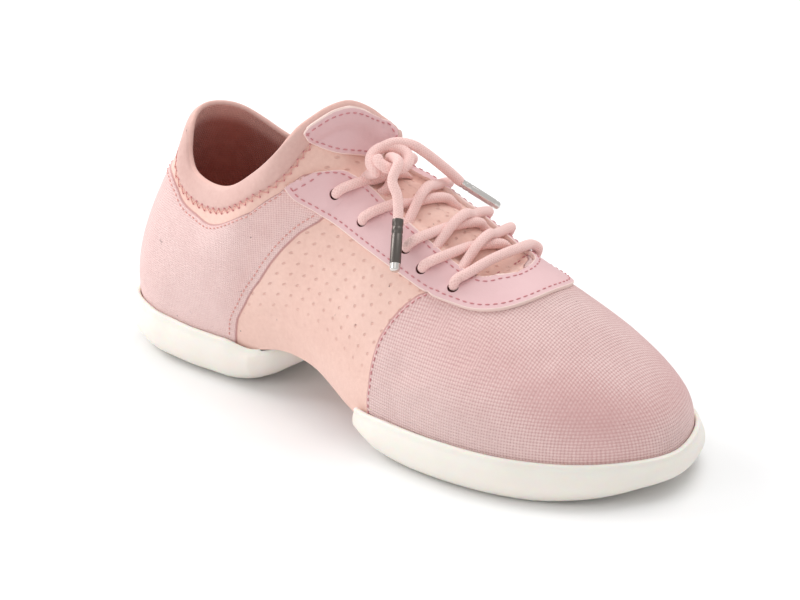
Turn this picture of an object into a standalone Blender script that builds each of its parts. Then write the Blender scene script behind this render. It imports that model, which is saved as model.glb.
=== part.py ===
"""A split-sole lace-up dance sneaker, right shoe, standing empty on its sole.

Metres, +X towards the toe, +Y towards the inner (medial) side, +Z up, floor at z = 0.
The origin is the middle of the heel's flat tread. The shoe is a one-piece stretch bootie with bonded
canvas panels, a leather lace stay and patch, two rubber sole units, an insole and a round lace.
"""
import bpy
import bmesh
from math import cos, hypot, pi, radians, sin, tan
from mathutils import Matrix, Vector
from mathutils.bvhtree import BVHTree

# Driving dimensions
LENGTH = 0.250            # heel to toe of the upper's feather line and soles
BALL_WIDTH = 0.090        # widest width of the feather line
INSTEP_HEIGHT = 0.1155    # top of the tongue above the floor
COLLAR_HEIGHT = 0.094     # back of the collar above the floor
RIM_HEIGHT = 0.0160       # top of the side wall at the ball
WALL = 0.0020             # fabric and lining
SHEET_GAP = 0.0008         # sheets lie this far off the upper, over its facets
GAP = 0.0003              # clearance between pieces that touch
CUP_DEPTH = 0.0045        # how far the upper sits down inside the sole's side wall
PANEL_STEP = 0.0005       # canvas panels stand this far out from the stretch sleeve
BAND_STEP = 0.0009        # rolled collar band stands this far out
BAND_WIDTH = 0.0085       # width of the rolled collar band
LASTING_MARGIN = 0.009    # upper turned in under the insole
STAY_THICKNESS = 0.0014   # leather of the lace stay
PATCH_THICKNESS = 0.0014  # leather of the tongue patch
HOLE_DIAMETER = 0.0058    # punched lace holes
INSOLE_THICKNESS = 0.0035
LIP_THICKNESS = 0.0020    # top of the sole's side wall
SOLE_BELLY = 0.0024       # how far the side wall bulges past its lip
TREAD_INSET = 0.0045      # tread edge inside the feather line
TOE_SPRING = 0.0065       # lift of the tread's front end
LACE_DIAMETER = 0.0038
AGLET_DIAMETER = 0.0042
AGLET_LENGTH = 0.0185
ORIGIN_X = 0.030          # the heel tread's middle, forward of the heel's back

# Ribs of the last, from the middle of the heel to the middle of the toe.
# foot_x, out_x, in_x: share of LENGTH. foot_out, foot_in, top_out, top_in: share of BALL_WIDTH, out from y = 0
# on the outer and the inner side. foot_z: height of the feather line, share of RIM_HEIGHT.
# out_z, in_z: height of the rib's top on each side, share of INSTEP_HEIGHT.
# lean: degrees that the wall leans out at its foot. plan: degrees, the way that the rib arrives in plan,
# 90 forward, 0 straight across, -90 back. rise_out, rise_in: degrees of climb at its top.
# low, high_out, high_in: lengths of the handles at foot and top, share of the rib's chord.
RIB_COLUMNS = ("foot_x", "foot_out", "foot_in", "foot_z", "out_x", "top_out", "out_z", "in_x", "top_in", "in_z",
               "lean", "plan", "rise_out", "rise_in", "low", "high_out", "high_in")
RIBS = (
    (0.012, 0.000, 0.000, 0.900, 0.096, 0.000, 0.814, 0.096, 0.000, 0.814, 14, 90, 72, 72, 0.36, 0.30, 0.30),
    (0.030, 0.156, 0.167, 0.900, 0.110, 0.106, 0.775, 0.108, 0.106, 0.814, 13, 50, 72, 72, 0.36, 0.30, 0.30),
    (0.084, 0.244, 0.267, 0.875, 0.140, 0.183, 0.662, 0.140, 0.189, 0.784, 11, 15, 68, 68, 0.36, 0.30, 0.30),
    (0.128, 0.269, 0.297, 0.856, 0.220, 0.250, 0.665, 0.208, 0.261, 0.697, 8, 4, 64, 64, 0.36, 0.30, 0.30),
    (0.166, 0.278, 0.304, 0.844, 0.300, 0.283, 0.792, 0.268, 0.289, 0.688, 9, 0, 66, 64, 0.38, 0.27, 0.28),
    (0.200, 0.281, 0.300, 0.844, 0.360, 0.239, 0.939, 0.328, 0.289, 0.727, 12, 0, 56, 62, 0.40, 0.26, 0.26),
    (0.232, 0.283, 0.296, 0.863, 0.396, 0.022, 1.000, 0.386, 0.267, 0.788, 13, -18, 0, 58, 0.43, 0.34, 0.26),
    (0.264, 0.286, 0.282, 0.938, 0.430, -0.178, 0.870, 0.430, 0.178, 0.870, 14, -25, -45, 45, 0.42, 0.42, 0.28),
    (0.300, 0.287, 0.264, 1.100, 0.454, -0.133, 0.840, 0.454, 0.133, 0.840, 14, -22, -26, 26, 0.42, 0.40, 0.30),
    (0.348, 0.292, 0.249, 1.262, 0.492, -0.089, 0.797, 0.492, 0.089, 0.797, 13, -14, -11, 11, 0.42, 0.37, 0.32),
    (0.420, 0.336, 0.262, 1.212, 0.552, -0.056, 0.736, 0.552, 0.056, 0.736, 12, -7, -3, 3, 0.42, 0.35, 0.33),
    (0.516, 0.417, 0.361, 0.706, 0.632, -0.056, 0.642, 0.632, 0.056, 0.642, 10, -3, 0, 0, 0.42, 0.34, 0.34),
    (0.600, 0.472, 0.433, 0.719, 0.688, -0.056, 0.580, 0.688, 0.056, 0.580, 8, 0, 0, 0, 0.42, 0.35, 0.35),
    (0.700, 0.500, 0.461, 0.762, 0.744, -0.044, 0.535, 0.744, 0.044, 0.535, 8, 0, 0, 0, 0.42, 0.37, 0.37),
    (0.800, 0.472, 0.456, 0.762, 0.800, -0.033, 0.487, 0.800, 0.033, 0.487, 8, -10, 0, 0, 0.42, 0.37, 0.37),
    (0.888, 0.372, 0.389, 0.762, 0.852, -0.022, 0.433, 0.852, 0.022, 0.433, 8, -32, 0, 0, 0.44, 0.38, 0.38),
    (0.952, 0.211, 0.261, 0.762, 0.888, -0.011, 0.392, 0.888, 0.011, 0.392, 8, -62, 0, 0, 0.46, 0.41, 0.41),
    (0.986, 0.000, 0.000, 0.762, 0.904, 0.000, 0.372, 0.904, 0.000, 0.372, 8, -90, 0, 0, 0.48, 0.42, 0.42),
)
CORNER_RIB = 7            # inner end of the tongue's top, where the collar's edge ends and the ridge starts
LAST_RIB = len(RIBS) - 1
REAR_SEAM_RIB = 6.6       # the canvas heel quarter ends here
FRONT_SEAM_RIB = 11.4      # the canvas vamp starts here
HEEL_UNIT_RIB = 8.3       # front end of the heel sole unit
FORE_UNIT_RIB = 11.0      # rear corner of the forefoot sole unit
OPEN_HEEL_RIB = 7.0       # the underside is open behind this rib
OPEN_FORE_RIB = 12.0      # and in front of this one
COLLAR_RIBS = 4           # ribs over which the back of the collar rises or falls with its own height
STEPS_PER_RIB = 3
ROWS = 10                 # rows of faces between the feather line and the top
FLOOR_ROWS = 3            # rows of faces from the lasting margin to the middle of the underside
SEAM_SPLIT = 0.03         # width of a panel's edge, in ribs
RELAX_RIB = 6.8           # the sleeve is evened out around this rib
RELAX_REACH = 3.6         # as far as this many ribs to either side
RELAX_ROUNDS = 14
OUTER, INNER = -1, 1      # sides of the shoe, as the sign of y
# Across the two ends of the table a side runs on into the other side's column, some with the sign turned.
WIDTH_PARTNER = {"foot_out": "foot_in", "foot_in": "foot_out", "top_out": "top_in", "top_in": "top_out"}
TOP_PARTNER = {"out_x": "in_x", "in_x": "out_x", "out_z": "in_z", "in_z": "out_z",
               "rise_out": "rise_in", "rise_in": "rise_out", "high_out": "high_in", "high_in": "high_out"}
SPLIT_COLUMNS = ("out_x", "in_x", "top_out", "top_in", "out_z", "in_z", "rise_out", "rise_in")


# Edges of the lace stay's outer half, from its rear end to the front of the throat: outer edge, inner edge.
# x in shoe lengths from the heel, y in ball widths, z in instep heights; the points are laid on the upper.
STAY_COLUMNS = ("outer_x", "outer_y", "outer_z", "inner_x", "inner_y", "inner_z")
STAY = (
    (0.3404, -0.2633, 0.7420, 0.3760, -0.1800, 0.7939),
    (0.3540, -0.2400, 0.7013, 0.4060, -0.1089, 0.7965),
    (0.3840, -0.2178, 0.6710, 0.4308, -0.0856, 0.7723),
    (0.4280, -0.2111, 0.6407, 0.4600, -0.0844, 0.7446),
    (0.4840, -0.2300, 0.6052, 0.4972, -0.1000, 0.7091),
    (0.5532, -0.2444, 0.5593, 0.5480, -0.1144, 0.6658),
    (0.6104, -0.2489, 0.5186, 0.6040, -0.1211, 0.6104),
    (0.6524, -0.2422, 0.5065, 0.6440, -0.1200, 0.5758),
    (0.6820, -0.2311, 0.5013, 0.6600, -0.1156, 0.5645),
    (0.7080, -0.2022, 0.5030, 0.6732, -0.0933, 0.5628),
    (0.7300, -0.1500, 0.5100, 0.6840, -0.0556, 0.5645),
    (0.7460, -0.0667, 0.5221, 0.6940, -0.0111, 0.5671),
    (0.7532, 0.0333, 0.5255, 0.6984, 0.0333, 0.5654),
)
THROAT_MIDDLE = ((0.34, 0.005), (0.42, 0.025), (0.50, 0.039), (0.75, 0.034))   # x share, y share
THROAT_SKEW = 0.020        # the inner half lies this share of the length further forward
# Upper and lower edge of the tongue's patch, from the outer end to the inner one.
PATCH_COLUMNS = ("upper_x", "upper_y", "upper_z", "lower_x", "lower_y", "lower_z")
PATCH = (
    (0.3664, -0.2000, 0.9394, 0.3672, -0.2000, 0.9177),
    (0.3740, -0.1556, 0.9610, 0.3744, -0.1700, 0.8935),
    (0.3840, -0.0944, 0.9740, 0.3896, -0.1267, 0.8615),
    (0.3940, -0.0333, 0.9801, 0.4080, -0.0700, 0.8468),
    (0.4040, 0.0333, 0.9697, 0.4220, -0.0111, 0.8398),
    (0.4152, 0.0944, 0.9394, 0.4332, 0.0500, 0.8346),
    (0.4252, 0.1389, 0.9004, 0.4372, 0.1111, 0.8329),
    (0.4304, 0.1611, 0.8658, 0.4352, 0.1500, 0.8442),
)
# Lace holes of the outer half, from the toe to the ankle: x, y and z as above.
HOLES = ((0.641, -0.196, 0.539), (0.584, -0.200, 0.577), (0.550, -0.180, 0.620), (0.468, -0.178, 0.667),
         (0.409, -0.154, 0.725))
# Tread height along the length, share of the length and metres.
TREAD = ((0.012, 0.0035), (0.040, 0.0006), (0.065, 0.0), (0.245, 0.0), (0.285, 0.0028), (0.320, 0.0080),
         (0.350, 0.0140), (0.370, 0.0172), (0.512, 0.0096), (0.532, 0.0072), (0.560, 0.0036), (0.600, 0.0010),
         (0.640, 0.0), (0.860, 0.0), (0.925, 0.0020), (0.960, 0.0045), (0.985, TOE_SPRING))
# Routes of the knot's curl and of the two free ends, x, y and z as above.
KNOT_ROUTE = ((0.4420, -0.0611, 0.8848), (0.4540, -0.0889, 0.8675), (0.4740, -0.1056, 0.8554),
              (0.4920, -0.0778, 0.8502), (0.4940, -0.0167, 0.8623), (0.4800, 0.0333, 0.8883),
              (0.4580, 0.0389, 0.9126), (0.4440, 0.0111, 0.9316))
NEAR_ROUTE = ((0.4892, -0.1167, 0.8424), (0.4976, -0.1333, 0.8346), (0.5096, -0.1422, 0.8260),
              (0.5216, -0.1511, 0.8087), (0.5320, -0.1733, 0.7810), (0.5384, -0.2000, 0.7498),
              (0.5440, -0.2244, 0.7221))
FAR_ROUTE = ((0.5060, -0.0133, 0.8563), (0.5144, 0.0267, 0.8537), (0.5200, 0.0756, 0.8485),
             (0.5248, 0.1222, 0.8355), (0.5308, 0.1822, 0.8043), (0.5384, 0.2244, 0.7671))
NEAR_TIP = (0.5708, -0.3400, 0.6035)    # far ends of the two metal tips
FAR_TIP = (0.5620, 0.3389, 0.6511)
HEEL_TIP_RIB = 9.2         # the heel unit's round front ends here, below the arch
TIP_START_RIB = 7.5        # and starts to narrow here
SOLE_STEPS = 3             # columns per rib of the sole units
SOLE_ACROSS = 2            # faces across a sole
PATH_STEP = 0.0038         # spacing of the points of a lace


def smooth(values, before, after, t):
    """Catmull-Rom curve through equally spaced values, with a ghost value past each end."""
    last = len(values) - 1
    i = min(int(t), last - 1)
    t -= i
    p0 = values[i - 1] if i > 0 else before
    p1 = values[i]
    p2 = values[i + 1]
    p3 = values[i + 2] if i + 2 <= last else after
    return p1 + 0.5 * t * (p2 - p0 + t * (2 * p0 - 5 * p1 + 4 * p2 - p3 + t * (3 * (p1 - p2) + p3 - p0)))


def column(name):
    return [row[RIB_COLUMNS.index(name)] for row in RIBS]


def rib_value(name, t):
    """One column of the rib table at any rib number; the two ends mirror onto the other side."""
    values = column(name)
    if name in WIDTH_PARTNER:
        other = column(WIDTH_PARTNER[name])
        before, after = -other[1], -other[-2]
    elif name == "plan":
        before, after = 2 * values[0] - values[1], 2 * values[-1] - values[-2]
    else:
        other = column(TOP_PARTNER.get(name, name))
        before, after = other[1], other[-2]
    if name not in SPLIT_COLUMNS:
        return smooth(values, before, after, t)
    rear = values[:CORNER_RIB + 1]
    front = values[CORNER_RIB:]
    if t <= CORNER_RIB:
        return smooth(rear, before, rear[-2] + 2 * (front[1] - front[0]), t)
    return smooth(front, 2 * front[0] - front[1], after, t - CORNER_RIB)


def foot_point(t, side):
    width = rib_value("foot_out" if side == OUTER else "foot_in", t)
    return Vector((rib_value("foot_x", t) * LENGTH - ORIGIN_X, side * width * BALL_WIDTH,
                   rib_value("foot_z", t) * RIM_HEIGHT))


def top_point(t, side):
    x_name, width_name, z_name = ("out_x", "top_out", "out_z") if side == OUTER else ("in_x", "top_in", "in_z")
    height = rib_value(z_name, t) * INSTEP_HEIGHT
    height += max(0.0, 1 - t / COLLAR_RIBS) * (COLLAR_HEIGHT - column(z_name)[0] * INSTEP_HEIGHT)
    return Vector((rib_value(x_name, t) * LENGTH - ORIGIN_X, side * rib_value(width_name, t) * BALL_WIDTH, height))


def outward(t, side):
    """Level unit vector that points out of the feather line."""
    step = 0.02
    ahead = foot_point(min(t + step, LAST_RIB), side)
    behind = foot_point(max(t - step, 0), side)
    along = ahead - behind
    if t < step:
        return Vector((-1, 0, 0))
    if t > LAST_RIB - step:
        return Vector((1, 0, 0))
    return Vector((-side * along.y, side * along.x, 0)).normalized()


def ridge_slope(t):
    """Rise over run of the line where the two sides meet on the instep and the toe."""
    step = 0.1
    ahead = top_point(min(t + step, LAST_RIB), OUTER)
    behind = top_point(max(t - step, CORNER_RIB + step / 10), OUTER)
    return (ahead.z - behind.z) / (ahead.x - behind.x)


def rib_curve(t, side):
    """The four Bezier points of one rib of the last."""
    foot = foot_point(t, side)
    top = top_point(t, side)
    chord = (top - foot).length
    plan = radians(rib_value("plan", t))
    lean = radians(rib_value("lean", t))
    across = Vector((sin(plan), -side * cos(plan), 0))
    climb = tan(radians(rib_value("rise_out" if side == OUTER else "rise_in", t)))
    if across.x < 0:
        climb += across.x * ridge_slope(max(t, CORNER_RIB))
    arrive = (across + Vector((0, 0, climb))).normalized()
    start = outward(t, side) * sin(lean) + Vector((0, 0, cos(lean)))
    low = foot + start * chord * rib_value("low", t)
    high = top - arrive * chord * rib_value("high_out" if side == OUTER else "high_in", t)
    return foot, low, high, top


def last_point(t, side, v):
    """A point of the last's side: v = 0 at the feather line, 1 at the collar's edge or on the ridge."""
    foot, low, high, top = rib_curve(t, side)
    u = 1 - v
    return foot * u ** 3 + low * 3 * u * u * v + high * 3 * u * v * v + top * v ** 3


def finish(name, mesh, material, smooth_angle=40):
    """Put a mesh in the scene as one named piece."""
    mesh.materials.append(material)
    mesh.shade_smooth()
    mesh.set_sharp_from_angle(angle=radians(smooth_angle))
    piece = bpy.data.objects.new(name, mesh)
    bpy.context.scene.collection.objects.link(piece)
    return piece


def mesh_from(name, grid):
    grid.normal_update()
    mesh = bpy.data.meshes.new(name)
    grid.to_mesh(mesh)
    grid.free()
    return mesh


def paint(name, colour, roughness, metallic=0.0):
    material = bpy.data.materials.new(name)
    material.use_nodes = True
    shader = material.node_tree.nodes["Principled BSDF"]
    shader.inputs["Base Color"].default_value = (*colour, 1)
    shader.inputs["Roughness"].default_value = roughness
    shader.inputs["Metallic"].default_value = metallic
    return material


def rib_numbers():
    """Rib numbers of the grid's columns, two of them close together at each canvas seam."""
    numbers = [i / STEPS_PER_RIB for i in range(LAST_RIB * STEPS_PER_RIB + 1)]
    for seam in (REAR_SEAM_RIB, FRONT_SEAM_RIB):
        numbers = [t for t in numbers if abs(t - seam) > 0.5 / STEPS_PER_RIB]
        numbers += [seam - SEAM_SPLIT / 2, seam + SEAM_SPLIT / 2]
    return sorted(numbers)


def row_heights(t):
    """Rib shares of the grid's rows, with three rows for the collar band behind the tongue's top."""
    fade = min(1.0, max(0.0, (t - CORNER_RIB) / 2))
    band = 1 - BAND_WIDTH / (top_point(t, OUTER) - foot_point(t, OUTER)).length
    below = ROWS - 3
    banded = [band * j / below for j in range(below + 1)] + [band + (1 - band) * share for share in (0.15, 0.6, 1)]
    return [share * (1 - fade) + j / ROWS * fade for j, share in enumerate(banded)]


def wall_step(t, row):
    """How far the upper's outside stands out from the stretch sleeve."""
    if t <= CORNER_RIB and row > ROWS - 3:
        return BAND_STEP
    if t < REAR_SEAM_RIB:
        return PANEL_STEP
    if t > FRONT_SEAM_RIB:
        under_stay = row >= ROWS - 4
        return PANEL_STEP * (min(1.0, (t - FRONT_SEAM_RIB) / 2) if under_stay else 1.0)
    return 0.0


def relax(points, numbers):
    """Even out the stretch sleeve around the tongue like a cloth held at its edges."""
    last = len(numbers) - 1

    def at(side, i, j):
        if side == INNER and (i in (0, last) or (j == ROWS and numbers[i] >= CORNER_RIB)):
            side = OUTER
        return side, i, j

    for _ in range(RELAX_ROUNDS):
        moved = {}
        for side, i, j in points:
            t = numbers[i]
            share = max(0.0, 1 - abs(t - RELAX_RIB) / RELAX_REACH) * min(1.0, max(0.0, (j - 2) / 3))
            if share <= 0 or (j == ROWS and t <= CORNER_RIB):
                continue
            beyond = at(-side, i, j - 1) if j == ROWS else at(side, i, j + 1)
            around = [at(side, i - 1, j), at(side, i + 1, j), at(side, i, j - 1), beyond]
            middle = sum((points[key] for key in around), Vector()) / 4
            moved[side, i, j] = points[side, i, j].lerp(middle, min(1.0, share * 1.5) * 0.8)
        points.update(moved)
    return points


def skin_points(numbers):
    """Points of the last on the grid, by side, column and row."""
    points = {}
    for side in (OUTER, INNER):
        for i, t in enumerate(numbers):
            for j, v in enumerate(row_heights(t)):
                if side == INNER and (t in (0, LAST_RIB) or (j == ROWS and t >= CORNER_RIB)):
                    continue
                points[side, i, j] = last_point(t, side, v)
    return relax(points, numbers)


def upper_skin(stepped=True):
    """The outside of the upper as an open mesh: sides, lasting margin and wrapped arch."""
    grid = bmesh.new()
    numbers = rib_numbers()
    points = skin_points(numbers)
    sides = {key: grid.verts.new(point) for key, point in points.items()}
    steps = {vertex: (numbers[key[1]], key[2]) for key, vertex in sides.items()}
    for side in (OUTER, INNER):
        for i, t in enumerate(numbers):
            at_end = i in (0, len(numbers) - 1)
            if side == OUTER or not at_end:
                margin = foot_point(t, side) - outward(t, side) * LASTING_MARGIN
                sides[side, i, "margin"] = grid.verts.new(margin)
            for j in list(range(ROWS + 1)) + ["margin"]:
                if (side, i, j) not in sides:
                    sides[side, i, j] = sides[OUTER, i, j]
    for side in (OUTER, INNER):
        turn = 1 if side == OUTER else -1
        for i in range(len(numbers) - 1):
            for j in range(ROWS):
                corners = [sides[side, i, j], sides[side, i + 1, j], sides[side, i + 1, j + 1], sides[side, i, j + 1]]
                grid.faces.new(corners[::turn])
            corners = [sides[side, i, 0], sides[side, i, "margin"], sides[side, i + 1, "margin"], sides[side, i + 1, 0]]
            grid.faces.new(corners[::turn])
    closed = [i for i, t in enumerate(numbers) if OPEN_HEEL_RIB <= t <= OPEN_FORE_RIB]
    across = {}
    for i in closed:
        start = sides[OUTER, i, "margin"]
        end = sides[INNER, i, "margin"]
        across[i] = [start]
        for j in range(1, FLOOR_ROWS):
            across[i].append(grid.verts.new(start.co.lerp(end.co, j / FLOOR_ROWS)))
        across[i].append(end)
    for i in closed[:-1]:
        for j in range(FLOOR_ROWS):
            grid.faces.new([across[i][j], across[i][j + 1], across[i + 1][j + 1], across[i + 1][j]])
    grid.normal_update()
    if stepped:
        moves = [(vertex, vertex.normal * wall_step(t, j)) for vertex, (t, j) in steps.items()]
        for vertex, move in moves:
            vertex.co += move
        grid.normal_update()
    return grid


def along_table(rows, x):
    """Straight-line value of a two-column table."""
    if x <= rows[0][0]:
        return rows[0][1]
    for (x0, value0), (x1, value1) in zip(rows, rows[1:]):
        if x <= x1:
            return value0 + (value1 - value0) * (x - x0) / (x1 - x0)
    return rows[-1][1]


def side_is_full(t):
    """False where the heel unit narrows to its round front end."""
    return t <= TIP_START_RIB or t >= FORE_UNIT_RIB


def cup_depth(t):
    """How far a sole's side stands up above the feather line."""
    if t >= FORE_UNIT_RIB:
        return CUP_DEPTH
    return CUP_DEPTH * min(1.0, max(0.0, (TIP_START_RIB - t) / 0.6))


def side_profile(t, side, narrow):
    """One side of a sole section, from the inside of its cup down to the tread."""
    foot = foot_point(t, side)
    out = outward(t, side)
    full = 1.0 if side_is_full(t) else max(0.0, 1 - (t - TIP_START_RIB) / 0.8)
    clear = (PANEL_STEP + GAP) * full
    lip = LIP_THICKNESS * (0.4 + 0.6 * min(1, cup_depth(t) / CUP_DEPTH)) * full
    rim = cup_depth(t) if cup_depth(t) > 0 else -GAP - PANEL_STEP
    share = max(0.0, rim) / (top_point(t, side) - foot).length
    wall = last_point(t, side, share * 0.75)
    wall = Vector((wall.x, wall.y, foot.z + rim)) + out * clear
    low = along_table(TREAD, (foot.x + ORIGIN_X) / LENGTH)
    drop = GAP + PANEL_STEP
    height = foot.z - drop - low
    belly = SOLE_BELLY * min(1.0, height / 0.008) * full
    inset = min(TREAD_INSET, height * 0.5)
    points = [
        foot + out * clear - Vector((0, 0, drop)),
        wall,
        wall + out * lip,
        foot + out * (clear + lip + belly) - Vector((0, 0, drop + height * 0.28)),
        foot + out * (clear + lip + belly * 0.55) - Vector((0, 0, drop + height * 0.78)),
        foot + out * (clear + lip + belly * 0.55 - inset) - Vector((0, 0, drop + height)),
    ]
    for point in points:
        point.y *= narrow
    return points


def loft(sections, name):
    """A closed solid through closed sections of equal point counts."""
    grid = bmesh.new()
    rings = [[grid.verts.new(point) for point in section] for section in sections]
    count = len(rings[0])
    for ring, following in zip(rings, rings[1:]):
        for k in range(count):
            grid.faces.new([ring[k], ring[(k + 1) % count], following[(k + 1) % count], following[k]])
    grid.faces.new(rings[0][::-1])
    grid.faces.new(rings[-1])
    bmesh.ops.remove_doubles(grid, verts=grid.verts, dist=0.00002)
    bmesh.ops.dissolve_degenerate(grid, edges=grid.edges, dist=0.00001)
    bmesh.ops.recalc_face_normals(grid, faces=grid.faces)
    if grid.calc_volume(signed=True) < 0:
        bmesh.ops.reverse_faces(grid, faces=grid.faces)
    bmesh.ops.triangulate(grid, faces=[face for face in grid.faces if len(face.verts) > 4])
    return mesh_from(name, grid)


def sole_section(t, narrow=1.0):
    """Closed outline of a sole across the shoe, up the inner side and back over the cup's floor."""
    outer = side_profile(t, OUTER, narrow)
    inner = side_profile(t, INNER, narrow)
    tread = [outer[-1].lerp(inner[-1], k / SOLE_ACROSS) for k in range(1, SOLE_ACROSS)]
    floor = [inner[0].lerp(outer[0], k / SOLE_ACROSS) for k in range(1, SOLE_ACROSS)]
    return outer + tread + inner[::-1] + floor


def sole_unit(name, start, end, round_front=False):
    count = round((end - start) * SOLE_STEPS)
    sections = []
    for i in range(count + 1):
        t = start + (end - start) * i / count
        narrow = 1.0
        if round_front and t > TIP_START_RIB:
            narrow = 0.999 * (1 - ((t - TIP_START_RIB) / (HEEL_TIP_RIB - TIP_START_RIB + 0.05)) ** 2.4) ** 0.5
        sections.append(sole_section(t, narrow))
    return loft(sections, name)


def insole_section(t):
    """Closed outline of the insole across the shoe, lying on the lasting margin inside the wall."""
    corners = []
    for side in (OUTER, INNER):
        foot = foot_point(t, side)
        inset = outward(t, side) * (WALL + GAP * 3)
        low = foot - inset + Vector((0, 0, WALL * 1.35 + GAP * 2))
        corners.append((low, low + Vector((0, 0, INSOLE_THICKNESS)) - outward(t, side) * 0.0004))
    (low_out, high_out), (low_in, high_in) = corners
    bottom = [low_out.lerp(low_in, k / SOLE_ACROSS) for k in range(SOLE_ACROSS + 1)]
    top = [high_in.lerp(high_out, k / SOLE_ACROSS) for k in range(SOLE_ACROSS + 1)]
    return bottom + top


def last_spot(x_share, y_share, z_share):
    return Vector((x_share * LENGTH - ORIGIN_X, y_share * BALL_WIDTH, z_share * INSTEP_HEIGHT))


def mirrored(spot):
    """The same place on the inner half of the throat."""
    x_share = (spot.x + ORIGIN_X) / LENGTH
    middle = along_table(THROAT_MIDDLE, x_share) * BALL_WIDTH
    away = middle - spot.y
    return Vector((spot.x + THROAT_SKEW * LENGTH * away / (0.25 * BALL_WIDTH), middle + away, spot.z))


def strand(points, count):
    """Evenly numbered points of a smooth curve through a list of points."""
    result = []
    for i in range(count + 1):
        t = (len(points) - 1) * i / count
        result.append(Vector([smooth([point[k] for point in points], 2 * points[0][k] - points[1][k],
                                     2 * points[-1][k] - points[-2][k], t) for k in range(3)]))
    return result


def laid(spot, lift):
    """A place on the upper's outside, moved out along its normal."""
    place, normal, _, _ = seat.find_nearest(spot)
    smoothed = Vector()
    for dx, dy in ((0, 0), (0.003, 0), (-0.003, 0), (0, 0.003), (0, -0.003)):
        smoothed += seat.find_nearest(place + Vector((dx, dy, 0)))[1]
    return place + smoothed.normalized() * lift


def sheet(name, edges, across, thickness):
    """A closed sheet lying on the upper between two edges, GAP above it."""
    lower, upper_side = [], []
    for start, end in edges:
        spots = [start.lerp(end, k / across) for k in range(across + 1)]
        lower.append([laid(spot, SHEET_GAP) for spot in spots])
        upper_side.append([laid(spot, SHEET_GAP + thickness) for spot in spots])
    sections = [low + high[::-1] for low, high in zip(lower, upper_side)]
    return loft(sections, name)


def stay_edges():
    """Matching points of the lace stay's outer and inner edge, round the U from end to end."""
    half = [(last_spot(*row[:3]), last_spot(*row[3:])) for row in STAY]
    other = [(mirrored(a), mirrored(b)) for a, b in half[:-1]][::-1]
    outer = strand([pair[0] for pair in half + other], 2 * len(half) * 2 + 8)
    inner = strand([pair[1] for pair in half + other], 2 * len(half) * 2 + 8)
    return list(zip(outer, inner))


def hole_spots():
    outer = [laid(last_spot(*hole), 0) for hole in HOLES]
    inner = [laid(mirrored(last_spot(*hole)), 0) for hole in HOLES]
    return outer, inner


def tube(name, points, diameter, material):
    """A round cord or rod through the points, with closed ends."""
    curve = bpy.data.curves.new(name, "CURVE")
    curve.dimensions = "3D"
    curve.bevel_depth = diameter / 2
    curve.bevel_resolution = 2
    curve.use_fill_caps = True
    line = curve.splines.new("POLY")
    line.points.add(len(points) - 1)
    for knot, point in zip(line.points, points):
        knot.co = (*point, 1)
    curve.materials.append(material)
    piece = bpy.data.objects.new(name, curve)
    bpy.context.scene.collection.objects.link(piece)
    return piece


def even(points, step):
    """Points every step along a smooth curve through the route points."""
    fine = strand(points, 24 * len(points))
    length = sum((b - a).length for a, b in zip(fine, fine[1:]))
    count = max(2, round(length / step))
    result = [fine[0]]
    walked = 0.0
    for a, b in zip(fine, fine[1:]):
        walked += (b - a).length
        if walked >= length * len(result) / count - 1e-9 and len(result) < count:
            result.append(b)
    return result + [fine[-1]]


def cleared(points):
    """Lift a strand's points off the lace stay, apart from those that go down into a hole."""
    result = []
    for point in points:
        near_hole = min((point - spot).length for spot in outer_holes + inner_holes)
        place, normal, _, gap = stay_tree.find_nearest(point)
        short = RADIUS + GAP * 3.5 - gap
        short = max(short, RADIUS + GAP * 2 - seat.find_nearest(point)[3])
        if near_hole > HOLE_DIAMETER * 0.8 and short > 0:
            point = point + seat.find_nearest(point)[1] * short
        result.append(point)
    return result


def joined_tubes(name, routes, material):
    """Lace strands that lie on each other, as one closed mesh."""
    pieces = [tube(name + "_strand", cleared(even(route, PATH_STEP)), LACE_DIAMETER, material) for route in routes]
    depsgraph = bpy.context.evaluated_depsgraph_get()
    solids = []
    for piece in pieces:
        mesh = bpy.data.meshes.new_from_object(piece.evaluated_get(depsgraph))
        bpy.data.objects.remove(piece)
        grid = bmesh.new()
        grid.from_mesh(mesh)
        bmesh.ops.remove_doubles(grid, verts=grid.verts, dist=0.00001)
        grid.to_mesh(mesh)
        grid.free()
        solids.append(mesh)
    first = bpy.data.objects.new(name, solids[0])
    bpy.context.scene.collection.objects.link(first)
    for k, mesh in enumerate(solids[1:]):
        other = bpy.data.objects.new(name + "_over", mesh)
        bpy.context.scene.collection.objects.link(other)
        other.hide_render = True
        other.display_type = "WIRE"
        union = first.modifiers.new("union", "BOOLEAN")
        union.operation = "UNION"
        union.solver = "EXACT"
        union.object = other
    return first


for old in list(bpy.data.objects):
    bpy.data.objects.remove(old)

canvas = paint("pink canvas and sleeve", (0.80, 0.52, 0.50), 0.85)
skin_mesh = mesh_from("upper", upper_skin())
upper = finish("upper", skin_mesh, canvas)
wall = upper.modifiers.new("wall", "SOLIDIFY")
wall.thickness = WALL
wall.offset = -1
wall.use_even_offset = True
wall.use_quality_normals = True

seat = BVHTree.FromBMesh(upper_skin())

leather = paint("lilac pink synthetic leather", (0.78, 0.55, 0.60), 0.45)
rubber = paint("white sole rubber", (0.90, 0.89, 0.86), 0.5)
foam = paint("dark red insole", (0.45, 0.16, 0.17), 0.9)
cord = paint("pink lace", (0.86, 0.57, 0.57), 0.8)
gunmetal = paint("gunmetal", (0.30, 0.28, 0.28), 0.3, 1.0)
chrome = paint("bright metal", (0.75, 0.74, 0.73), 0.2, 1.0)

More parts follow.
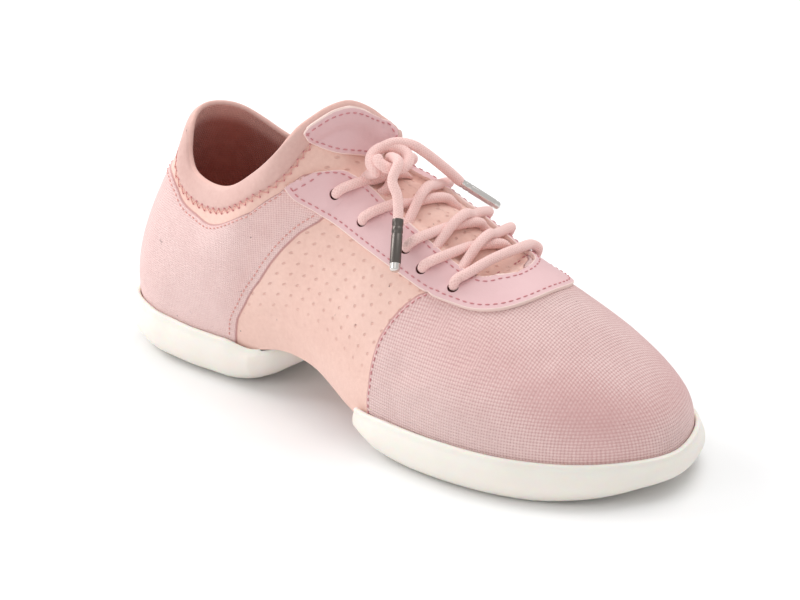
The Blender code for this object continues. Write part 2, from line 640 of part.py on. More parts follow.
stay_mesh = sheet("eyestay", stay_edges(), 4, STAY_THICKNESS)
stay_grid = bmesh.new()
stay_grid.from_mesh(stay_mesh)
stay_tree = BVHTree.FromBMesh(stay_grid)
stay_grid.free()
stay = finish("eyestay", stay_mesh, leather)
outer_holes, inner_holes = hole_spots()
for k, spot in enumerate(outer_holes + inner_holes):
    above = laid(spot, 0.005)
    punch_mesh = bpy.data.meshes.new("punch")
    grid = bmesh.new()
    bmesh.ops.create_cone(grid, cap_ends=True, segments=12, radius1=HOLE_DIAMETER / 2, radius2=HOLE_DIAMETER / 2,
                          depth=0.012, matrix=Matrix.Translation(spot)
                          @ (above - spot).to_track_quat("Z", "Y").to_matrix().to_4x4())
    grid.to_mesh(punch_mesh)
    grid.free()
    punch = bpy.data.objects.new("punch_%d" % k, punch_mesh)
    bpy.context.scene.collection.objects.link(punch)
    punch.hide_render = True
    punch.display_type = "WIRE"
    cut = stay.modifiers.new("hole %d" % k, "BOOLEAN")
    cut.operation = "DIFFERENCE"
    cut.solver = "EXACT"
    cut.object = punch

patch_edges = list(zip(strand([last_spot(*row[:3]) for row in PATCH], 14),
                       strand([last_spot(*row[3:]) for row in PATCH], 14)))
patch = finish("tongue_patch", sheet("tongue_patch", patch_edges, 4, PATCH_THICKNESS), leather)

insole = finish("insole", loft([insole_section(t) for t in rib_numbers()], "insole"), foam)
heel = finish("outsole_heel", sole_unit("outsole_heel", 0, HEEL_TIP_RIB, True), rubber)
fore = finish("outsole_forefoot", sole_unit("outsole_forefoot", FORE_UNIT_RIB, LAST_RIB), rubber)

STACK = SHEET_GAP + STAY_THICKNESS     # top of the lace stay above the upper
RADIUS = LACE_DIAMETER / 2


def hole_end(spot, towards):
    """Route of a lace that comes over the stay from `towards` and turns down into a hole."""
    level = (towards - spot)
    level = level.normalized()
    return [laid(spot + level * 0.0110, STACK + RADIUS + 0.0012), laid(spot + level * 0.0070, STACK + RADIUS + 0.0014),
            laid(spot + level * 0.0036, STACK + RADIUS + 0.0018),
            laid(spot + level * 0.0006, STACK + RADIUS * 1.1), laid(spot, 0.0018)]


def crossing(start_edge, spot, lift):
    """One strand from beside a stay's inner edge, over the tongue, to the hole on the other side."""
    middle = start_edge.lerp(spot, 0.42)
    low = RADIUS + GAP * 2.0
    first = start_edge.lerp(spot, 0.06)
    return [laid(first, low), laid(start_edge.lerp(spot, 0.2), low + lift * 0.5), laid(middle, low + lift)] \
        + hole_end(spot, start_edge)


bar_out, bar_in = outer_holes[0], inner_holes[0]
bar = joined_tubes("lace_bar", [hole_end(bar_out, bar_in)[::-1][:3] + [laid(bar_out.lerp(bar_in, 0.35), 0.006),
                   laid(bar_out.lerp(bar_in, 0.65), 0.006)] + hole_end(bar_in, bar_out)[1:]], cord)
bar.name = "lace_bar"
for k in range(1, 5):
    from_out = outer_holes[k - 1].lerp(inner_holes[k - 1], 0.38).lerp(outer_holes[k], 0.32)
    from_in = inner_holes[k - 1].lerp(outer_holes[k - 1], 0.38).lerp(inner_holes[k], 0.32)
    over = crossing(from_in, outer_holes[k], LACE_DIAMETER * 0.85)
    under = crossing(from_out, inner_holes[k], 0.0)
    joined_tubes("lace_cross_%d" % k, [under, over], cord)


def route(rows):
    return [last_spot(*row) for row in rows]


def rod(name, start, direction, diameter, length, material):
    """A metal lace end on the line of the cord, GAP beyond its end."""
    first = start + direction * GAP * 2
    return tube(name, [first, first + direction * length], diameter, material)


lace_knot = tube("lace_knot", even(route(KNOT_ROUTE), PATH_STEP), LACE_DIAMETER, cord)
near_points = even(route(NEAR_ROUTE), PATH_STEP)
lace_end_near = tube("lace_end_near", near_points, LACE_DIAMETER, cord)
far_points = even(route(FAR_ROUTE), PATH_STEP)
lace_end_far = tube("lace_end_far", far_points, LACE_DIAMETER, cord)
rod("aglet_near", near_points[-1], (last_spot(*NEAR_TIP) - near_points[-1]).normalized(), AGLET_DIAMETER,
    AGLET_LENGTH, gunmetal)
rod("aglet_far", far_points[-1], (last_spot(*FAR_TIP) - far_points[-1]).normalized(), AGLET_DIAMETER * 0.8,
    AGLET_LENGTH, chrome)
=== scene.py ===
from math import cos, pi, radians, sin, tan

import bmesh
import bpy
import numpy as np
from mathutils import Matrix, Vector
from mathutils.bvhtree import BVHTree
from mathutils.kdtree import KDTree


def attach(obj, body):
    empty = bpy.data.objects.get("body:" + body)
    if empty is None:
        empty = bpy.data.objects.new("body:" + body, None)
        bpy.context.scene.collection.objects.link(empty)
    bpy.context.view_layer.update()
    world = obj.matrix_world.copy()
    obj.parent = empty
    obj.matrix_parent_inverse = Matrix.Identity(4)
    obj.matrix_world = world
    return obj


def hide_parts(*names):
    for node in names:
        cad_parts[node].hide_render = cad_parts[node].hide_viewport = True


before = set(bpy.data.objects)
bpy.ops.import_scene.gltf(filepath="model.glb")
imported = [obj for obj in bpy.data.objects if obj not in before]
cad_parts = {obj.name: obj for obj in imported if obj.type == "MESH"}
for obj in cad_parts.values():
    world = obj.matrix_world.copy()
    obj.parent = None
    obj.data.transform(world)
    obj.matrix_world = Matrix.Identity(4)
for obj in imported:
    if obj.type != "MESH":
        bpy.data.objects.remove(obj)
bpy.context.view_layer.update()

# Camera: the photo's viewpoint, high in front of the outer side and far off with a long lens. It shows the
# shoe's outer side, the throat and a look down into the collar.
turn = radians(39.0)
lift = radians(24.5)
roll = radians(-0.6)
away = Vector((sin(turn) * cos(lift), -cos(turn) * cos(lift), sin(lift)))
level = Vector((cos(turn), sin(turn), 0))
upward = away.cross(level)
level, upward = cos(roll) * level + sin(roll) * upward, cos(roll) * upward - sin(roll) * level
lens = bpy.data.cameras.new("camera")
lens.sensor_width = 36
lens.lens = 365.589
lens.clip_start = 0.1
lens.clip_end = 40
camera = bpy.data.objects.new("camera", lens)
bpy.context.scene.collection.objects.link(camera)
camera.matrix_world = Matrix((level, upward, away)).transposed().to_4x4()
camera.location = Vector((0.095, 0, 0.035)) + away * 3.0101 - level * 0.0037 + upward * 0.0068
bpy.context.scene.camera = camera

# The last, which gives the shoe its form: ribs that run from the feather line, where the upper turns under,
# up to the collar's edge or to the ridge of the instep. Rib 0 is the middle of the heel, rib 17 the toe's.
# Feather line: x from the heel, outer and inner half width, height, all in millimetres.
FEET = ((3, 0, 0, 14.4), (7.5, 14, 15, 14.4), (21, 22, 24, 14), (32, 24.2, 26.7, 13.7), (41.5, 25.3, 27.4, 13.5),
        (50, 25.3, 27, 13.5), (58, 25.5, 26.6, 13.8), (66, 25.7, 25.4, 15), (75, 25.8, 23.8, 17.6),
        (87, 26.3, 22.4, 20.2), (105, 30.2, 23.6, 19.4), (129, 37.5, 32.5, 11.3), (150, 42.5, 39, 11.5),
        (175, 45, 41.5, 12.2), (200, 42.5, 41, 12.2), (222, 33.5, 35, 12.2), (238, 19, 23.5, 12.2),
        (246.5, 0, 0, 12.2))
# Outer tops, x, half width and height in millimetres, and the climb there in degrees.
OUTER_TOPS = ((24, 0, 94, 72), (27.5, 9.5, 89.5, 72), (35, 16.5, 76.5, 68), (55, 22.5, 76.8, 64), (75, 25.5, 91.5, 66),
              (90, 21.5, 108.5, 56), (99, 2, 115.5, 0), (107.5, -16, 100.5, -45), (113.5, -12, 97, -26),
              (123, -8, 92, -11), (138, -5, 85, -3), (158, -5, 74.2, 0), (172, -5, 67, 0), (186, -4, 61.8, 0),
              (200, -3, 56.2, 0), (213, -2, 50, 0), (222, -1, 45.3, 0), (226, 0, 43, 0))
INNER_TOPS = ((24, 0, 94, 72), (27, 9.5, 94, 72), (35, 17, 90.5, 68), (52, 23.5, 80.5, 64), (67, 26, 79.5, 64),
              (82, 26, 84, 62), (96.5, 24, 91, 58), (107.5, 16, 100.5, 45), (113.5, 12, 97, 26)) \
    + tuple((x, -width, z, climb) for x, width, z, climb in OUTER_TOPS[9:])
# Lean of the wall at its foot, way that the rib arrives in plan (degrees), and the lengths of the rib's handles.
LEANS = (14, 13, 11, 8, 9, 12, 13, 14, 14, 13, 12, 10, 8, 8, 8, 8, 8, 8)
PLANS = (90, 50, 15, 4, 0, 0, -18, -25, -22, -14, -7, -3, 0, 0, -10, -32, -62, -90)
LOWS = (.36, .36, .36, .36, .38, .40, .43, .42, .42, .42, .42, .42, .42, .42, .42, .44, .46, .48)
OUTER_HIGHS = (.30, .30, .30, .30, .27, .26, .34, .42, .40, .37, .35, .34, .35, .37, .37, .38, .41, .42)
INNER_HIGHS = (.30, .30, .30, .30, .28, .26, .26, .28, .30, .32, .33, .34, .35, .37, .37, .38, .41, .42)
CORNER = 7
LAST = 17
HEEL_X = 30.0
OUT, IN = -1, 1


def curve_value(values, before, after, t):
    """Height at place t of a smooth curve through values, with one value known before them and one after."""
    last = len(values) - 1
    i = min(int(t), last - 1)
    t -= i
    p0 = values[i - 1] if i > 0 else before
    p1, p2 = values[i], values[i + 1]
    p3 = values[i + 2] if i + 2 <= last else after
    return p1 + 0.5 * t * (p2 - p0 + t * (2 * p0 - 5 * p1 + 4 * p2 - p3 + t * (3 * (p1 - p2) + p3 - p0)))


def foot(t, side):
    """Feather line at rib t, in millimetres."""
    own = [row[1 if side == OUT else 2] for row in FEET]
    other = [row[2 if side == OUT else 1] for row in FEET]
    x = [row[0] for row in FEET]
    z = [row[3] for row in FEET]
    return Vector((curve_value(x, x[1], x[-2], t) - HEEL_X, side * curve_value(own, -other[1], -other[-2], t),
                   curve_value(z, z[1], z[-2], t)))


def top_value(k, t, side):
    """Column k of the table of tops at rib t; the two sides are one curve over heel and toe."""
    own = [row[k] for row in (OUTER_TOPS if side == OUT else INNER_TOPS)]
    other = [row[k] for row in (INNER_TOPS if side == OUT else OUTER_TOPS)]
    sign = -1 if k == 1 else 1
    rear, front = own[:CORNER + 1], own[CORNER:]
    if t <= CORNER:
        return curve_value(rear, sign * other[1], rear[-2] + 2 * (front[1] - front[0]), t)
    return curve_value(front, 2 * front[0] - front[1], sign * other[-2], t - CORNER)


def top(t, side):
    """Upper end of rib t, in millimetres."""
    return Vector((top_value(0, t, side) - HEEL_X, side * top_value(1, t, side), top_value(2, t, side)))


def outward(t, side):
    """Level direction out of the shoe at the foot of rib t."""
    along = foot(min(t + 0.02, LAST), side) - foot(max(t - 0.02, 0), side)
    if t < 0.02:
        return Vector((-1, 0, 0))
    if t > LAST - 0.02:
        return Vector((1, 0, 0))
    return Vector((-side * along.y, side * along.x, 0)).normalized()


def last_point(t, side, v):
    """A place on the last in millimetres: v = 0 at the feather line, 1 at the top."""
    low_end, high_end = foot(t, side), top(t, side)
    chord = (high_end - low_end).length
    plan = radians(curve_value(PLANS, 130, -118, t))
    lean = radians(curve_value(LEANS, LEANS[1], LEANS[-2], t))
    across = Vector((sin(plan), -side * cos(plan), 0))
    climb = tan(radians(top_value(3, t, side)))
    if across.x < 0:
        ahead, behind = top(min(max(t, CORNER) + 0.1, LAST), OUT), top(max(t - 0.1, CORNER + 0.01), OUT)
        climb += across.x * (ahead.z - behind.z) / (ahead.x - behind.x)
    highs = OUTER_HIGHS if side == OUT else INNER_HIGHS
    start = outward(t, side) * sin(lean) + Vector((0, 0, cos(lean)))
    low = low_end + start * chord * curve_value(LOWS, LOWS[1], LOWS[-2], t)
    arrive = (across + Vector((0, 0, climb))).normalized()
    high = high_end - arrive * chord * curve_value(highs, highs[1], highs[-2], t)
    u = 1 - v
    return low_end * u ** 3 + low * 3 * u * u * v + high * 3 * u * v * v + high_end * v ** 3


# Coarse net of the last, three lines a rib on each side, evened out where the collar runs into the instep.
RIB_SPLIT = 3
NET_ROWS = 10
EVEN_RIB, EVEN_REACH = 6.8, 3.6
net_ribs = [i / RIB_SPLIT for i in range(LAST * RIB_SPLIT + 1)]
net = np.array([[[list(last_point(t, side, j / NET_ROWS)) for j in range(NET_ROWS + 1)] for t in net_ribs]
                for side in (OUT, IN)])
first_joined = CORNER * RIB_SPLIT
for _ in range(14):
    moved = net.copy()
    for s in (0, 1):
        for i in range(1, len(net_ribs) - 1):
            share = max(0.0, 1 - abs(net_ribs[i] - EVEN_RIB) / EVEN_REACH)
            if share <= 0:
                continue
            for j in range(3, NET_ROWS + 1):
                if j == NET_ROWS and i <= first_joined:
                    continue
                beyond = net[1 - s, i, j - 1] if j == NET_ROWS else net[s, i, j + 1]
                middle = (net[s, i - 1, j] + net[s, i + 1, j] + net[s, i, j - 1] + beyond) / 4
                weight = min(1.0, share * min(1.0, (j - 2) / 3) * 1.5) * 0.8
                moved[s, i, j] += (middle - net[s, i, j]) * weight
    moved[1, first_joined:, NET_ROWS] = moved[0, first_joined:, NET_ROWS]
    net = moved


def spline_matrix(count, split):
    """Weights that refine a row of `count` values with one more before and after it."""
    rows = []
    for k in range((count - 1) * split + 1):
        i = min(k // split, count - 2)
        t = k / split - i
        row = np.zeros(count + 2)
        row[i:i + 4] = (-0.5 * t + t * t - 0.5 * t ** 3, 1 - 2.5 * t * t + 1.5 * t ** 3,
                        0.5 * t + 2 * t * t - 1.5 * t ** 3, -0.5 * t * t + 0.5 * t ** 3)
        rows.append(row)
    return np.array(rows)


def refined(split_ribs, split_rows):
    """Fine points of both sides, [side, rib, row], in metres."""
    result = []
    for s in (0, 1):
        other = net[1 - s]
        wide = np.concatenate([other[1:2], net[s], other[-2:-1]])
        below = 2 * wide[:, :1] - wide[:, 1:2]
        above = 2 * wide[:, -1:] - wide[:, -2:-1]
        across = np.concatenate([net[s][1:2], other, net[s][-2:-1]])
        above[1 + first_joined:] = across[1 + first_joined:, -2:-1]
        full = np.concatenate([below, wide, above], axis=1)
        ribs = spline_matrix(len(net_ribs), split_ribs)
        rows = spline_matrix(NET_ROWS + 1, split_rows)
        result.append(np.einsum("ai,bj,ijk->abk", ribs, rows, full))
    return np.array(result) / 1000


def facing(points):
    """Normals of a [side, rib, row] grid, pointing out of the shoe."""
    along = np.empty_like(points)
    along[:, 1:-1] = points[:, 2:] - points[:, :-2]
    along[0, 0] = points[0, 1] - points[1, 1]
    along[1, 0] = -along[0, 0]
    along[0, -1] = points[1, -2] - points[0, -2]
    along[1, -1] = -along[0, -1]
    rise = np.empty_like(points)
    rise[:, :, 1:-1] = points[:, :, 2:] - points[:, :, :-2]
    rise[:, :, 0] = points[:, :, 1] - points[:, :, 0]
    rise[:, :, -1] = points[:, :, -1] - points[:, :, -2]
    joined = int(CORNER / LAST * (points.shape[1] - 1) + 1)
    for s in (0, 1):
        rise[s, joined:, -1] = points[1 - s, joined:, -2] - points[s, joined:, -2]
    normal = np.cross(along, rise)
    normal[1] *= -1
    return normal / np.maximum(np.linalg.norm(normal, axis=3, keepdims=True), 1e-12)


# Upper: a knitted stretch bootie, tongue and all in one, with a canvas vamp and heel quarter bonded on and a
# rolled band sewn round its mouth. The panels are steps in the cloth; weaves and dimples are surface relief,
# with painted shade in their hollows.
def put(name, mesh, materials, angle=50):
    """Stand a mesh in the scene at the origin, smooth, with edges sharper than the angle kept."""
    for material in materials:
        mesh.materials.append(material)
    mesh.shade_smooth()
    mesh.set_sharp_from_angle(angle=radians(angle))
    piece = bpy.data.objects.new(name, mesh)
    bpy.context.scene.collection.objects.link(piece)
    return piece


def soft_step(value, width):
    """0 below -width/2, 1 above width/2, smooth between."""
    share = np.clip(value / width + 0.5, 0, 1)
    return share * share * (3 - 2 * share)


def joined_up(points):
    """Both sides share the heel's rib, the toe's rib and the ridge of the instep."""
    points[1, joined:, -1] = points[0, joined:, -1]
    points[1, 0] = points[0, 0]
    points[1, -1] = points[0, -1]
    return points


skin = refined(7, 8)
ribs, rows = skin.shape[1], skin.shape[2]
rib_at = np.linspace(0, LAST, ribs)
joined = int(round(CORNER / LAST * (ribs - 1)))
joined_up(skin)
normals = facing(skin)
climb = np.zeros(skin.shape[:3])
climb[:, :, 1:] = np.cumsum(np.linalg.norm(np.diff(skin, axis=2), axis=3), axis=2)
climb *= 1000
from_top = climb[:, :, -1:] - climb
mid_row = skin[:, :, rows // 3]
around = np.zeros((2, ribs))
around[:, 1:] = np.cumsum(np.linalg.norm(np.diff(mid_row, axis=1), axis=2), axis=1) * 1000

# Places along the seams in millimetres, read off the photo's outer side.
CRESCENT = ((18, -9.3, 71.4), (28.7, -18.1, 67.5), (42, -23.6, 63.6), (61.8, -29.1, 67.2), (72.9, -29, 74.3),
            (83.3, -24.5, 83.1), (92, -21, 90))
FRONT_SEAM = ((165, -12, 67), (149.1, -24, 60.4), (145.1, -27.7, 56.1), (141.3, -31.5, 50.2), (139, -34.9, 42.9),
              (138.3, -37.3, 36.9), (138, -39.8, 26.2), (137.5, -40, 12))
REAR_SEAM = ((104, -14, 80), (98.3, -19.3, 74.2), (91.2, -22.2, 68.7), (85.1, -25.2, 61.5), (80.5, -27.1, 54.6),
             (76.6, -28.6, 47.9), (69.2, -28.3, 35.6), (65, -27.7, 27.6), (62, -26, 15))
nearest = KDTree(ribs * rows)
for i in range(ribs):
    for j in range(rows):
        nearest.insert(skin[0, i, j], i * rows + j)
nearest.balance()


def grid_places(points):
    """Rib number and row share of places on the outer side."""
    found = []
    for x, y, z in points:
        index = nearest.find(((x - HEEL_X) / 1000, y / 1000, z / 1000))[1]
        found.append((rib_at[index // rows], index % rows / (rows - 1)))
    return sorted(found, key=lambda place: place[1])


share_at = np.linspace(0, 1, rows)
rib_pitch = np.zeros(skin.shape[:3])
rib_pitch[:, 1:-1] = np.linalg.norm(skin[:, 2:] - skin[:, :-2], axis=3) * 1000 / (rib_at[2] - rib_at[0])
rib_pitch[:, 0], rib_pitch[:, -1] = rib_pitch[:, 1], rib_pitch[:, -2]
(front_rib, rear_rib) = (np.interp(share_at, [p[1] for p in line], [p[0] for p in line])
                         for line in (grid_places(FRONT_SEAM), grid_places(REAR_SEAM)))
past_front = (rib_at[None, :, None] - front_rib[None, None, :]) * np.minimum(rib_pitch, 20)
before_rear = (rear_rib[None, None, :] - rib_at[None, :, None]) * np.minimum(rib_pitch, 20)
crescent_line = sorted(grid_places(CRESCENT))
crescent_share = np.interp(rib_at, [p[0] for p in crescent_line], [p[1] for p in crescent_line])
below_crescent = (crescent_share[None, :, None] - share_at[None, None, :]) * climb[:, :, -1:]
edge_tree = KDTree(2 * (joined + 1))
for i in range(joined + 1):
    edge_tree.insert(skin[0, i, -1], i)
    edge_tree.insert(skin[1, i, -1], ribs + i)
edge_tree.balance()
from_mouth = np.array([[[edge_tree.find(skin[s, i, j])[2] * 1000 for j in range(rows)] for i in range(ribs)]
                       for s in (0, 1)])

BAND = 8.3
# The tongue lies lower than the stay's two arms, between the edges of the throat.
where = skin * 1000 + np.array((HEEL_X, 0, 0))
THROAT = ((96, 101, 108, 115, 124, 137, 151, 161, 166, 170, 173),
          (-8, -9.8, -7.7, -7.6, -9, -10.3, -10.9, -10.8, -9.6, -6, 1))
MIDDLE = ((85, 105, 125, 187.5), (0.45, 2.25, 3.51, 3.06))
throat_low = np.interp(where[..., 0], *THROAT)
throat_mid = np.interp(where[..., 0], *MIDDLE)
room = np.minimum(where[..., 1] - throat_low, 2 * throat_mid - throat_low + 1 - where[..., 1])
room = np.where(where[..., 2] > 45, np.minimum(room, 174.5 - where[..., 0]), -20)
on_vamp = np.minimum(past_front, -room - 0.5)
on_quarter = np.minimum(np.minimum(before_rear, below_crescent), from_mouth - BAND - 2.5)
band_place = np.clip(from_mouth / BAND, 0, 1)
band_roll = np.sqrt(np.clip(1 - (2 * band_place - 1) ** 2, 0, 1)) * (from_mouth < BAND)
raised = 0.55 * soft_step(on_vamp, 1.4) + 0.5 * soft_step(on_quarter, 1.4) + 1.1 * band_roll
raised -= 0.35 * np.exp(-((from_mouth - BAND - 0.2) / 0.7) ** 2)
near_quarter = np.abs(on_quarter) < 3
raised -= 0.25 * np.exp(-(on_vamp / 0.6) ** 2) + 0.2 * np.exp(-(on_quarter / 0.6) ** 2) * near_quarter
# Soft troughs and ridges in the cloth, each a place, a direction, a length, a width and a depth in millimetres.
CREASES = ((150, -37, 34, 12, -16, 9, 22, 4.0, -0.5), (160, -40, 30, 10, -10, 12, 20, 3.5, 0.35),
           (172, -33, 44, 16, -6, 10, 26, 4.5, -0.4), (190, -36, 33, 14, 4, 10, 22, 5, 0.35),
           (112, -27, 48, 8, -4, 14, 24, 4.0, -0.45), (100, -25, 42, 10, -4, 12, 22, 3.5, 0.35),
           (86, -27, 36, 12, 0, 6, 18, 3.2, -0.35), (124, -30, 40, 6, -6, 14, 20, 3.5, 0.3),
           (60, -28, 40, 10, 0, 3, 16, 4.0, -0.3), (40, -25, 34, 12, 2, 3, 18, 4.5, 0.3),
           (24, -18, 44, 8, -8, 2, 14, 3.5, -0.3), (205, -20, 48, 10, -14, 8, 22, 5, -0.35))
for x, y, z, dx, dy, dz, reach, width, depth in CREASES:
    for sign, strength in ((1, 1.0), (-1, 0.7)):
        direction = np.array((dx, sign * dy, dz)) / np.linalg.norm((dx, dy, dz))
        offset = where - np.array((x, sign * y, z))
        along = offset @ direction
        aside = np.linalg.norm(offset - along[..., None] * direction, axis=3)
        bend = np.exp(-(along / reach) ** 2 - (aside / width) ** 2)
        raised = raised + depth * strength * bend
sunk = soft_step(room - 1.6, 3.4) * soft_step(where[..., 0] - 104, 8) * soft_step(171 - where[..., 0], 5)
raised = raised - 3.2 * sunk
outside = joined_up(skin + normals * (raised / 1000)[..., None])
inside = joined_up(skin - normals * (0.0021 + 0.0032 * sunk)[..., None])


def net_index(s, i, j):
    """Number of a place of the grid, the same from both sides where they join."""
    if s == 1 and (i in (0, ribs - 1) or (j == rows - 1 and i >= joined)):
        s = 0
    return (s * ribs + i) * rows + j


def panel_map(s, i, j):
    """Cloth coordinates in metres: along the shoe and up from the feather line."""
    return ((1 if s == 0 else -1) * around[s, i] / 1000, climb[s, i, j] / 1000)


def shell(name, outer, inner, materials):
    """One closed mesh between an outer and an inner grid, with a rounded rim at the mouth."""
    rise = skin[:, :, -1] - skin[:, :, -2]
    rise /= np.linalg.norm(rise, axis=2, keepdims=True)
    rim_out = outer[:, :, -1] * 0.8 + inner[:, :, -1] * 0.2 + rise * 0.0007
    rim_mid = (outer[:, :, -1] + inner[:, :, -1]) / 2 + rise * 0.0011
    rim_in = outer[:, :, -1] * 0.2 + inner[:, :, -1] * 0.8 + rise * 0.0007
    rim_lines = [line.reshape(-1, 3) for line in (rim_out, rim_mid, rim_in)]
    for line in rim_lines:
        line[ribs] = line[0]
        line[ribs + joined] = line[joined]
    points = np.concatenate([outer.reshape(-1, 3), inner.reshape(-1, 3)] + rim_lines)
    back = 2 * ribs * rows
    faces, marks = [], []
    for s in (0, 1):
        for i in range(ribs - 1):
            for j in range(rows - 1):
                quad = [net_index(s, i + a, j + b) for a, b in ((0, 0), (1, 0), (1, 1), (0, 1))]
                quad = quad if s == 0 else quad[::-1]
                faces.append(quad)
                marks.append(0)
                faces.append([back + k for k in quad[::-1]])
                marks.append(1)
            for j, only in ((0, ribs), (rows - 1, joined)):
                if i < only:
                    a, b = net_index(s, i, j), net_index(s, i + 1, j)
                    steps = [(a, b), (back + a, back + b)]
                    if j:
                        ends = [k if k in (0, joined) else s * ribs + k for k in (i, i + 1)]
                        steps[1:1] = [tuple(2 * back + n * 2 * ribs + e for e in ends) for n in range(3)]
                    for (a, b), (c, d) in zip(steps, steps[1:]):
                        faces.append([a, b, d, c])
                        marks.append(2 if j else 1)
    mesh = bpy.data.meshes.new(name)
    used = sorted({k for face in faces for k in face})
    order = {k: n for n, k in enumerate(used)}
    mesh.from_pydata([points[k] for k in used], [], [[order[k] for k in face] for face in faces])
    mesh.polygons.foreach_set("material_index", marks)
    flat = {}
    for s in (0, 1):
        for i in range(ribs):
            for j in range(rows):
                flat[order.get(net_index(s, i, j), -1)] = (s, i, j)
                flat[order.get(back + net_index(s, i, j), -1)] = (s, i, j)
            for n in range(3):
                flat[order.get(2 * back + (n * 2 + s) * ribs + i, -1)] = (s, i, rows - 1)
    sheet_map = mesh.uv_layers.new(name="cloth")
    values = np.array([panel_map(*flat[loop.vertex_index]) for loop in mesh.loops])
    sheet_map.data.foreach_set("uv", values.ravel())
    for label, values in (("vamp", on_vamp), ("quarter", on_quarter), ("mouth", from_mouth)):
        layer = mesh.attributes.new(label, "FLOAT", "POINT")
        layer.data.foreach_set("value", [float(values[flat[n]]) for n in range(len(used))])
    mesh.validate()
    grid = bmesh.new()
    grid.from_mesh(mesh)
    bmesh.ops.recalc_face_normals(grid, faces=grid.faces)
    grid.to_mesh(mesh)
    grid.free()
    return put(name, mesh, materials, 80)


def new_paint(name, **values):
    """A material, its node tree and its shader, with the shader's plain values set."""
    material = bpy.data.materials.new(name)
    material.use_nodes = True
    shader = material.node_tree.nodes["Principled BSDF"]
    for label, value in values.items():
        link(material.node_tree, value, shader.inputs[label.replace("_", " ")])
    return material, material.node_tree, shader


def link(tree, value, socket):
    if isinstance(value, (int, float)):
        socket.default_value = value
    elif isinstance(value, tuple):
        socket.default_value = (*value, 1) if len(socket.default_value) == 4 else value
    else:
        tree.links.new(value, socket)


def sums(tree, operation, *values):
    """A sum worked out by one math node."""
    node = tree.nodes.new("ShaderNodeMath")
    node.operation = operation
    for value, socket in zip(values, node.inputs):
        link(tree, value, socket)
    return node.outputs[0]


def times(tree, first, second):
    return sums(tree, "MULTIPLY", first, second)


def parts_of(tree, place):
    """The three parts of a place or a direction."""
    node = tree.nodes.new("ShaderNodeSeparateXYZ")
    link(tree, place, node.inputs[0])
    return node.outputs


def cloth_way(tree):
    """The three parts of the way that the surface faces."""
    return parts_of(tree, tree.nodes.new("ShaderNodeNewGeometry").outputs["Normal"])


def field(tree, name):
    node = tree.nodes.new("ShaderNodeAttribute")
    node.attribute_name = name
    return node.outputs["Fac"]


def over(tree, low, high, value):
    """0 at low, 1 at high, smooth between."""
    node = tree.nodes.new("ShaderNodeMapRange")
    node.interpolation_type = "SMOOTHSTEP"
    link(tree, value, node.inputs["Value"])
    link(tree, float(low), node.inputs["From Min"])
    link(tree, float(high), node.inputs["From Max"])
    return node.outputs["Result"]


def blend(tree, share, first, second):
    node = tree.nodes.new("ShaderNodeMix")
    node.data_type = "RGBA"
    link(tree, share, node.inputs[0])
    link(tree, first, node.inputs[6])
    link(tree, second, node.inputs[7])
    return node.outputs[2]


def noise(tree, size, detail=2.0, rough=0.5):
    """Soft noise with features of about `size` metres."""
    node = tree.nodes.new("ShaderNodeTexNoise")
    link(tree, 1 / size, node.inputs["Scale"])
    link(tree, detail, node.inputs["Detail"])
    link(tree, rough, node.inputs["Roughness"])
    link(tree, object_place(tree), node.inputs["Vector"])
    return node.outputs["Fac"]


def object_place(tree):
    return tree.nodes.new("ShaderNodeTexCoord").outputs["Object"]


def relief(tree, height, depth, after=None):
    """Bump of `depth` metres where height runs from 0 to 1."""
    node = tree.nodes.new("ShaderNodeBump")
    node.inputs["Distance"].default_value = depth
    link(tree, height, node.inputs["Height"])
    if after:
        link(tree, after, node.inputs["Normal"])
    return node.outputs["Normal"]


def waves(tree, value, pitch):
    """Sine of a length, from -1 to 1, once each pitch."""
    return sums(tree, "SINE", times(tree, value, 2 * pi / pitch))


def weave_relief(tree, pitch):
    """Basket weave height from 0 to 1, seen along each axis and blended by the way the cloth faces."""
    x, y, z = parts_of(tree, object_place(tree))
    way = cloth_way(tree)
    total = 0.0
    for a, b, normal in ((x, z, way[1]), (x, y, way[2]), (y, z, way[0])):
        checks = times(tree, waves(tree, a, pitch * 2), waves(tree, b, pitch * 2))
        warp = sums(tree, "ABSOLUTE", waves(tree, a, pitch * 2))
        weft = sums(tree, "ABSOLUTE", waves(tree, b, pitch * 2))
        mixed = sums(tree, "MULTIPLY_ADD", checks, 0.5, 0.5)
        height = sums(tree, "ADD", times(tree, warp, mixed), times(tree, weft, sums(tree, "SUBTRACT", 1.0, mixed)))
        weight = sums(tree, "POWER", sums(tree, "ABSOLUTE", normal), 4.0)
        total = sums(tree, "MULTIPLY_ADD", height, weight, total)
    return total


def colour(red, green, blue):
    """Linear colour from the 0-255 values that a picture shows."""
    return tuple(((c / 255 + 0.055) / 1.055) ** 2.4 if c > 10 else c / 255 / 12.92 for c in (red, green, blue))


cloth, tree, shader = new_paint("salmon cloth", Roughness=0.88, Specular_IOR_Level=0.25, Sheen_Weight=0.25,
                                Sheen_Roughness=0.5)
vamp_share = over(tree, -0.25, 0.25, field(tree, "vamp"))
quarter_share = over(tree, -0.25, 0.25, field(tree, "quarter"))
mouth = field(tree, "mouth")
band_share = sums(tree, "SUBTRACT", 1.0, over(tree, BAND - 0.3, BAND + 0.3, mouth))
mottle = noise(tree, 0.0016, 3.0)
blotch = noise(tree, 0.028, 3.0, 0.55)
sleeve_colour = blend(tree, mottle, colour(228, 188, 175), colour(242, 206, 193))
canvas_colour = blend(tree, mottle, colour(224, 190, 187), colour(240, 212, 208))
quarter_colour = blend(tree, mottle, colour(231, 196, 193), colour(245, 216, 211))
base = blend(tree, vamp_share, sleeve_colour, canvas_colour)
base = blend(tree, quarter_share, base, quarter_colour)
base = blend(tree, band_share, base, blend(tree, mottle, colour(208, 168, 160), colour(222, 186, 177)))
